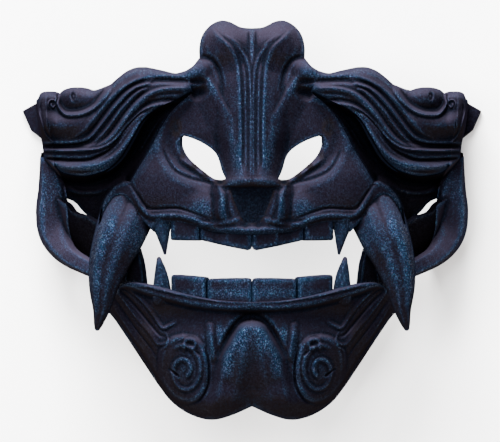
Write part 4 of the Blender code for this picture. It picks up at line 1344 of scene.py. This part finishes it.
def sweep_tree():
    """Geometry nodes that sweep a ridged, tapering body along a curve."""
    tree = bpy.data.node_groups.get("tapering_horn")
    if tree:
        return tree
    tree = bpy.data.node_groups.new("tapering_horn", "GeometryNodeTree")
    for name, kind, default in (
        ("Geometry", "NodeSocketGeometry", None),
        ("Sides", "NodeSocketInt", 48),
        ("Flatness", "NodeSocketFloat", 0.85),
        ("First Ridge", "NodeSocketFloat", 0.2),
        ("Second Ridge", "NodeSocketFloat", 0.4),
        ("Ridge Width", "NodeSocketFloat", 0.1),
        ("Ridge Height", "NodeSocketFloat", 0.1),
        ("Unevenness", "NodeSocketFloat", 0.0002),
        ("Material", "NodeSocketMaterial", None),
    ):
        socket = tree.interface.new_socket(name, in_out="INPUT", socket_type=kind)
        if default is not None:
            socket.default_value = default
    tree.interface.new_socket("Geometry", in_out="OUTPUT", socket_type="NodeSocketGeometry")

    make = Maker(tree)
    inputs = make.node("NodeGroupInput")

    def given(name):
        return make.wire(inputs, name)

    def stored(geometry, name, value):
        sockets = {"Geometry": geometry, "Name": name, "Value": value}
        return make.value("GeometryNodeStoreNamedAttribute", sockets, data_type="FLOAT", domain="POINT")

    def named(name):
        return make.value("GeometryNodeInputNamedAttribute", {"Name": name}, data_type="FLOAT")

    path = make.value("GeometryNodeSetCurveNormal", {"Curve": given("Geometry")}, mode="Z_UP")
    path = stored(path, "girth", make.value("GeometryNodeInputRadius"))
    circle = make.value("GeometryNodeCurvePrimitiveCircle", {"Resolution": given("Sides")})
    circle = stored(circle, "around", make.value("GeometryNodeInputIndex") / given("Sides"))
    flatten = make.value("ShaderNodeCombineXYZ", {0: 1.0, 1: given("Flatness"), 2: 1.0})
    circle = make.value("GeometryNodeTransform", {"Geometry": circle, "Scale": flatten})
    around, girth = named("around"), named("girth")
    sweep = {"Curve": path, "Profile Curve": circle, "Scale": girth, "Fill Caps": True}
    body = make.value("GeometryNodeCurveToMesh", sweep)

    ridges = None
    for name in ("First Ridge", "Second Ridge"):
        gap = (around - given(name)).math("ABSOLUTE")
        gap = gap.math("MINIMUM", 1.0 - gap)
        ridge = (1.0 - gap / given("Ridge Width")).math("MAXIMUM", 0.0) ** 1.5
        ridges = ridge if ridges is None else ridges.math("MAXIMUM", ridge)
    rise = ridges * girth * given("Ridge Height")
    rise = rise + (make.noise(120.0, 2.0) - 0.5) * given("Unevenness") * 2.0
    offset = make.scaled(make.value("GeometryNodeInputNormal"), rise)
    body = make.value("GeometryNodeSetPosition", {"Geometry": body, "Offset": offset})
    body = make.value("GeometryNodeRealizeInstances", {"Geometry": body})
    body = make.value("GeometryNodeSetMaterial", {"Geometry": body, "Material": given("Material")})
    make.node("NodeGroupOutput", {0: body})
    return tree


def rounded_end(centres, radii):
    """Adds rings that round off the last end of a path."""
    way = centres[-1] - centres[-2]
    way = way / np.linalg.norm(way)
    more = centres[-1] + way * radii[-1] * np.sin(END_TURNS)[:, None]
    return np.concatenate([centres, more]), np.concatenate([radii, radii[-1] * np.cos(END_TURNS)])


def swept_mesh(name, centres, radii, material, **inputs):
    """The plain mesh of a tapering body along centres."""
    centres, radii = rounded_end(centres, radii)
    curve = bpy.data.curves.new(name, "CURVE")
    curve.dimensions = "3D"
    spline = curve.splines.new("POLY")
    spline.points.add(len(centres) - 1)
    for point, centre, radius in zip(spline.points, centres, radii):
        point.co = (*centre, 1)
        point.radius = radius
    drawn = bpy.data.objects.new(name, curve)
    bpy.context.scene.collection.objects.link(drawn)
    modifier = drawn.modifiers.new("sweep", "NODES")
    modifier.node_group = sweep_tree()
    keys = {
        item.name: item.identifier
        for item in modifier.node_group.interface.items_tree
        if item.in_out == "INPUT"
    }
    for key, value in {"Material": material, **inputs}.items():
        modifier[keys[key.replace("_", " ")]] = value
    graph = bpy.context.evaluated_depsgraph_get()
    mesh = bpy.data.meshes.new_from_object(drawn.evaluated_get(graph))
    bpy.data.objects.remove(drawn)
    bm = bmesh.new()
    bm.from_mesh(mesh)
    bmesh.ops.recalc_face_normals(bm, faces=bm.faces[:])
    bm.to_mesh(mesh)
    bm.free()
    return mesh


def mesh_shell(mesh):
    return Shell(vertex_vectors(mesh, "co"), [tuple(face.vertices) for face in mesh.polygons])


def seated(form, mesh, seats):
    """A horn whose root lies in the wall of the shell over it, and whose front rides over the others."""
    points, faces = mesh_shell(mesh)
    outward = np.clip(vertex_vectors(mesh, "normal")[:, 2] * 2, 0, 1)
    for seat in seats:
        loop = np.concatenate([smooth_run(run, RUN_STEPS)[:-1] for run in seat.runs]) * form.front
        if seat.halved:
            loop = np.concatenate([loop, [[0, loop[-1][1]]], [[0, loop[0][1]]]])
        held = np.flatnonzero(inside(points[:, :2], loop))
        top = form.surface(points[held, :2], seat.lift_at)
        if seat.covered:
            points[held, 2] = top - HORN_SINK * MM
        else:
            floor = top + (outward[held] * (HORN_SINK + HORN_RIDE) - HORN_SINK) * MM
            points[held, 2] = np.maximum(points[held, 2], floor)
    points[:, 2] = np.maximum(points[:, 2], 0)
    return Shell(points, faces)


def horn_pair(base, form, rings, material, seats, **inputs):
    table = smooth_run(rings, HORN_STEPS)
    centres = table[:, :3] * (*form.front, form.depth)
    mesh = swept_mesh(base, centres, table[:, 3] * MM, material, **inputs)
    new_pair(base, seated(form, mesh, seats), material)


def tooth_runs(tooth):
    """The sides of a tooth, with the corners of its tip rounded."""
    cut = (tooth.outer - tooth.inner) * TOOTH_CORNER
    rise = math.copysign(cut, tooth.root - tooth.tip_inner)
    inner = [(tooth.inner + cut * side, tooth.tip_inner + rise * up) for side, up in INNER_CORNER]
    outer = [(tooth.outer - cut * side, tooth.tip_outer + rise * up) for side, up in OUTER_CORNER]
    tip = (tooth.tip_inner + tooth.tip_outer) / 2 - rise * TIP_BULGE
    middle = ((tooth.inner + tooth.outer) / 2, tip)
    inner_root = (tooth.inner, tooth.root)
    outer_root = (tooth.outer, tooth.root)
    return (
        (inner_root, inner[0]),
        inner,
        (inner[-1], middle, outer[0]),
        outer,
        (outer[-1], outer_root),
        (outer_root, inner_root),
    )


def lip_lift(lift_at):
    """The lift of a tooth behind a lip: the lip's own, up to a limit."""

    def lift(form, places):
        return np.clip(lift_at(form, places), 0, LIP_MOST)

    return lift


def current_form():
    return HeadForm(bpy.context.scene.oni_sizes)


def length_property(name, description, default):
    return FloatProperty(name=name, description=description, default=default, unit="LENGTH")


def share_property(name, description, default):
    return FloatProperty(name=name, description=description, default=default, subtype="FACTOR")


def power_property(name, description, default):
    return FloatProperty(name=name, description=description, default=default, unit="POWER")


def colour_property(name, description, *channels):
    return FloatVectorProperty(
        name=name, description=description, default=(*channels, 1), size=4, subtype="COLOR"
    )


class OniSizes(bpy.types.PropertyGroup):
    """Sizes of the mask."""

    width: length_property("Width", "Width over the ear tabs", 0.254)
    height: length_property("Height", "Height from crown to chin", 0.2193)
    depth: length_property("Depth", "Depth of the plain head form", 0.096)
    wall: length_property("Wall", "Thickness of the shells", 0.0032)
    spacing: length_property("Spacing", "Distance between the carved points", 0.0006)
    carving: FloatProperty(name="Carving", description="Strength of crests and grooves", default=1.0)


class OniLooks(bpy.types.PropertyGroup):
    """Colours of the plastic and its flakes, with the painted light, shade, sheen and glints among them."""

    base: colour_property("Base", "Plain plastic", 0.0026, 0.0021, 0.0038)
    # Violet is painted light on faces turned up; brown is painted shade on faces turned down and in the
    # shade patches.
    violet: colour_property("Violet", "Faces turned up", 0.0094, 0.0076, 0.0126)
    # Brown is the painted shade; the shell's own plastic is the base colour.
    brown: colour_property("Brown", "Faces turned down", 0.0034, 0.0025, 0.0027)
    teal: colour_property("Teal", "Crests", 0.0018, 0.0056, 0.0130)
    # Deep is the painted shade in hollows and under the nose.
    deep: colour_property("Deep", "Grooves", 0.0009, 0.0011, 0.0021)
    # Teal is the painted sheen on crests and glint patches.
    flake_cool: colour_property("Cool Flake", "Flakes, cool", 0.004, 0.016, 0.032)
    # Flake and spark colours: real glitter, shown brighter as painted glints where faces turn to the front.
    flake_warm: colour_property("Warm Flake", "Flakes, violet", 0.010, 0.010, 0.024)
    spark_cool: colour_property("Cool Spark", "Bright flakes, cool", 0.012, 0.034, 0.056)
    spark_warm: colour_property("Warm Spark", "Bright flakes, violet", 0.024, 0.024, 0.046)
    spark_size: length_property("Spark Size", "Size of a bright flake", 0.00052)
    spark_share: share_property("Spark Share", "Share of the surface with bright flakes", 0.14)
    flake_size: length_property("Flake Size", "Size of a flake", 0.0004)
    flake_share: share_property("Flake Share", "Share of the surface that flakes cover", 0.32)
    roughness: share_property("Roughness", "Roughness", 0.55)
    specular: share_property("Specular", "Specular level", 0.0)


class OniStage(bpy.types.PropertyGroup):
    """Camera, floor and light."""

    distance: length_property("Distance", "Camera's distance", 9.0)
    view_width: length_property("View Width", "Width of the view at the mask", 0.275)
    floor: colour_property("Floor", "Colour of the floor", 0.94, 0.94, 0.94)
    key: power_property("Key", "Power of the key light", 260.0)
    fill: power_property("Fill", "Power of the front light", 45.0)
    warm: power_property("Warm", "Power of the warm light below", 12.0)
    sky: FloatProperty(name="Sky", description="Strength of the surroundings", default=1.3)


class ONI_OT_upper_face(bpy.types.Operator):
    """Crown, bridge, nose, eye sockets, cheeks and upper lip"""

    bl_idname = "oni.upper_face"
    bl_label = "Upper Face"

    def execute(self, context):
        form = current_form()
        rolls = (
            Roll(9, 6.5, (CROWN_EDGE, CROWN_FOOT)),
            Roll(4.5, 2.6, (CHEEK_CREASE,)),
            Roll(1.6, 1.2, (HOOD_EDGE, HOOD_ARCH)),
            Roll(4.0, 3.4, (UPPER_LIP,)),
            Roll(1.2, 0.9, EYE),
        )
        shell = shell_piece(form, FACE_HALF, face_lift, rolls, holes=(EYE,), halved=True)
        stand_for(new_piece("upper_face_skin", shell, shell_material()), "upper_face")
        return {"FINISHED"}


class ONI_OT_brows(bpy.types.Operator):
    """Swept, ridged brows with scrolled ends"""

    bl_idname = "oni.brows"
    bl_label = "Brows"

    def execute(self, context):
        form = current_form()
        rolls = (
            Roll(9, 6.5, (BROW_TOP,)),
            Roll(4, 3.2, (BOWL_TOP, LOBE_TOP)),
            Roll(4.5, 3.6, (BROW_UNDERSIDE,)),
            Roll(1.2, 0.8, (HORN_SEAT,)),
        )
        new_pair("brow", shell_piece(form, BROW, brow_lift, rolls), shell_material())
        return {"FINISHED"}


class ONI_OT_temples(bpy.types.Operator):
    """Recessed walls under the brows"""

    bl_idname = "oni.temples"
    bl_label = "Temples"

    def execute(self, context):
        form = current_form()
        rolls = (Roll(1.4, 1.0, (TEMPLE[4], TEMPLE[5], TEMPLE[3])),)
        new_pair("temple", shell_piece(form, TEMPLE, temple_lift, rolls), shaded_recess_material())
        return {"FINISHED"}


class ONI_OT_jaw_arms(bpy.types.Operator):
    """Walls that join the face and the jaw"""

    bl_idname = "oni.jaw_arms"
    bl_label = "Jaw Arms"

    def execute(self, context):
        form = current_form()
        rolls = (Roll(1.4, 1.1, (JAW_ARM[0], JAW_ARM[1], JAW_ARM[4], JAW_ARM[6])),)
        new_pair("jaw_arm", shell_piece(form, JAW_ARM, arm_lift, rolls), shaded_recess_material())
        return {"FINISHED"}


class ONI_OT_lower_jaw(bpy.types.Operator):
    """Lower lip, cheek folds, chin and swirls"""

    bl_idname = "oni.lower_jaw"
    bl_label = "Lower Jaw"

    def execute(self, context):
        form = current_form()
        rolls = (
            Roll(1.6, 1.3, (LOWER_LIP,)),
            Roll(1.2, 0.8, (JAW_ARM_FOOT,)),
            Roll(4.0, 2.6, (JAW_SIDE,)),
            Roll(9.0, 6.5, (JAW_FOOT,)),
        )
        shell = shell_piece(form, JAW_HALF, jaw_lift, rolls, halved=True)
        stand_for(new_piece("lower_jaw_skin", shell, shell_material()), "lower_jaw")
        return {"FINISHED"}


class ONI_OT_teeth(bpy.types.Operator):
    """Flat teeth behind both lips"""

    bl_idname = "oni.teeth"
    bl_label = "Teeth"

    def execute(self, context):
        form = current_form()
        for teeth, lift_at in ((UPPER_TEETH, face_lift), (LOWER_TEETH, jaw_lift)):
            for tooth in teeth:
                runs = tooth_runs(tooth)
                rolls = (Roll(2.4, 1.8, (runs[0], runs[4])), Roll(1.8, 1.5, runs[1:4]))
                inset = form.wall / 2
                wall = inset + TOOTH_THICKNESS * MM
                shell = shell_piece(form, runs, lip_lift(lift_at), rolls, inset=inset, wall=wall)
                new_pair(tooth.name, shell, horn_material())
        return {"FINISHED"}


class ONI_OT_fangs(bpy.types.Operator):
    """Small fangs at the mouth's corners"""

    bl_idname = "oni.fangs"
    bl_label = "Fangs"

    def execute(self, context):
        form = current_form()
        for base, rings, lift_at in (
            ("upper_fang", UPPER_FANG, face_lift),
            ("lower_fang", LOWER_FANG, jaw_lift),
        ):
            table = smooth_run(rings, FANG_STEPS)
            places = table[:, :2] * form.front
            radii = table[:, 2] * MM
            z = form.surface(places, lip_lift(lift_at), form.wall) - radii * FANG_SINK
            centres = np.column_stack([places, z])
            material = horn_material()
            mesh = swept_mesh(base, centres, radii, material, Sides=28, Flatness=0.9, Ridge_Height=0.12)
            new_pair(base, mesh_shell(mesh), material)
        return {"FINISHED"}


class ONI_OT_tusks(bpy.types.Operator):
    """Big tusks that hang from the hoods"""

    bl_idname = "oni.tusks"
    bl_label = "Tusks"

    def execute(self, context):
        form = current_form()
        seats = (
            Seat(FACE_HALF, face_lift, halved=True, covered=True),
            Seat(TEMPLE, temple_lift, halved=False, covered=False),
            Seat(JAW_ARM, arm_lift, halved=False, covered=False),
        )
        horn_pair(
            "tusk", form, TUSK, horn_material(), seats, Sides=72, Flatness=0.85,
            First_Ridge=0.65, Second_Ridge=0.79, Ridge_Width=0.075, Ridge_Height=0.09,
        )
        return {"FINISHED"}


class ONI_OT_side_horns(bpy.types.Operator):
    """Curved horns from the brows' ends to the jaw arms"""

    bl_idname = "oni.side_horns"
    bl_label = "Side Horns"

    def execute(self, context):
        form = current_form()
        seats = (
            Seat(BROW, brow_lift, halved=False, covered=True),
            Seat(TEMPLE, temple_lift, halved=False, covered=False),
            Seat(JAW_ARM, arm_lift, halved=False, covered=False),
        )
        horn_pair(
            "side_horn", form, SIDE_HORN, lit_side_horn_material(), seats, Sides=72, Flatness=0.85,
            First_Ridge=0.65, Second_Ridge=0.84, Ridge_Width=0.08, Ridge_Height=0.12,
        )
        return {"FINISHED"}


class ONI_OT_ear_tabs(bpy.types.Operator):
    """Flat pointed tabs outside the rear rim"""

    bl_idname = "oni.ear_tabs"
    bl_label = "Ear Tabs"

    def execute(self, context):
        form = current_form()
        ups = np.array(TAB_ROOT_UPS) * form.front[1]
        root = list(zip(form.half_width(ups) - TAB_INSET * MM, ups))
        tip = (HUNDREDTHS * form.front[0], TAB_TIP_UP * form.front[1])
        shoulder = [end + (point - end) * share for end, point, share in zip(root[-1], tip, TAB_SHOULDER)]
        bm = bmesh.new()
        face = bm.faces.new([bm.verts.new((x, y, 0)) for x, y in (*root, shoulder, tip)])
        bm.normal_update()
        grown = bmesh.ops.extrude_face_region(bm, geom=[face], use_keep_orig=True)["geom"]
        _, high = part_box("ear_tab_left")
        for vertex in (item for item in grown if isinstance(item, bmesh.types.BMVert)):
            vertex.co.z = high[2]
        bmesh.ops.recalc_face_normals(bm, faces=bm.faces[:])
        edges = bm.edges[:]
        bmesh.ops.bevel(bm, geom=edges, offset=TAB_BEVEL * MM, segments=3, profile=0.5, affect="EDGES")
        bmesh.ops.triangulate(bm, faces=bm.faces[:])
        mesh = bpy.data.meshes.new("ear_tab")
        bm.to_mesh(mesh)
        bm.free()
        new_pair("ear_tab", mesh_shell(mesh), shell_material())
        return {"FINISHED"}


class ONI_OT_stage(bpy.types.Operator):
    """Camera, pale floor and soft light"""

    bl_idname = "oni.stage"
    bl_label = "Stage"

    def execute(self, context):
        stage = context.scene.oni_stage
        low, high = CAD_BOX
        middle = (low + high) / 2
        camera_data = bpy.data.cameras.new("front")
        camera_data.sensor_width = SENSOR_WIDTH
        camera_data.lens = SENSOR_WIDTH * stage.distance / stage.view_width
        camera_data.clip_end = CLIP_END
        camera = bpy.data.objects.new("front", camera_data)
        camera.location = (CAMERA_SHIFT[0] * MM, CAMERA_SHIFT[1] * MM, middle.z + stage.distance)
        context.scene.collection.objects.link(camera)
        context.scene.camera = camera

        corners = [(x * FLOOR_HALF, y * FLOOR_HALF, 0) for x, y in ((-1, -1), (1, -1), (1, 1), (-1, 1))]
        floor_mesh = bpy.data.meshes.new("floor")
        floor_mesh.from_pydata(corners, [], [(0, 1, 2, 3)])
        floor = bpy.data.objects.new("floor", floor_mesh)
        floor.location.z = -FLOOR_DROP
        paint = bpy.data.materials.new("floor_paint")
        paint.use_nodes = True
        shader = paint.node_tree.nodes["Principled BSDF"]
        shader.inputs["Base Color"].default_value = tuple(stage.floor)
        shader.inputs["Roughness"].default_value = 0.9
        floor_mesh.materials.append(paint)
        context.scene.collection.objects.link(floor)

        for name, power, size, place, colour in (
            ("key", stage.key, 0.9, (-0.25, 1.25, 0.95), (1.0, 1.0, 1.0)),
            ("front", stage.fill, 0.5, (-0.3, 0.15, 1.4), (1.0, 1.0, 1.0)),
            ("low", stage.warm, 0.8, (0.1, -1.0, 0.8), (1.0, 0.86, 0.74)),
        ):
            lamp_data = bpy.data.lights.new(name, "AREA")
            lamp_data.energy = power
            lamp_data.size = size
            lamp_data.color = colour
            lamp = bpy.data.objects.new(name, lamp_data)
            lamp.location = place
            way = middle - Vector(place)
            lamp.rotation_euler = way.to_track_quat("-Z", "Y").to_euler()
            context.scene.collection.objects.link(lamp)

        world = bpy.data.worlds.new("surroundings")
        world.use_nodes = True
        background = world.node_tree.nodes["Background"]
        background.inputs["Color"].default_value = (0.96, 0.97, 1.0, 1)
        background.inputs["Strength"].default_value = stage.sky
        context.scene.world = world
        return {"FINISHED"}


PIECE_OPERATORS = (
    ONI_OT_upper_face,
    ONI_OT_brows,
    ONI_OT_temples,
    ONI_OT_jaw_arms,
    ONI_OT_lower_jaw,
    ONI_OT_teeth,
    ONI_OT_fangs,
    ONI_OT_tusks,
    ONI_OT_side_horns,
    ONI_OT_ear_tabs,
    ONI_OT_stage,
)


class ONI_PT_mask(bpy.types.Panel):
    """The mask's sizes, looks and pieces"""

    bl_idname = "ONI_PT_mask"
    bl_label = "Oni Half Mask"
    bl_space_type = "VIEW_3D"
    bl_region_type = "UI"
    bl_category = "Oni Mask"

    def draw(self, context):
        for group in (context.scene.oni_sizes, context.scene.oni_looks, context.scene.oni_stage):
            column = self.layout.column()
            for name in group.__annotations__:
                column.prop(group, name)
        for operator in PIECE_OPERATORS:
            self.layout.operator(operator.bl_idname)


CLASSES = (OniSizes, OniLooks, OniStage, *PIECE_OPERATORS, ONI_PT_mask)


def register():
    for cls in CLASSES:
        bpy.utils.register_class(cls)
    bpy.types.Scene.oni_sizes = PointerProperty(type=OniSizes)
    bpy.types.Scene.oni_looks = PointerProperty(type=OniLooks)
    bpy.types.Scene.oni_stage = PointerProperty(type=OniStage)


def unregister():
    del bpy.types.Scene.oni_stage
    del bpy.types.Scene.oni_looks
    del bpy.types.Scene.oni_sizes
    for cls in reversed(CLASSES):
        bpy.utils.unregister_class(cls)


def main():
    register()
    for operator in PIECE_OPERATORS:
        group, name = operator.bl_idname.split(".")
        getattr(getattr(bpy.ops, group), name)()


if __name__ == "__main__":
    main()
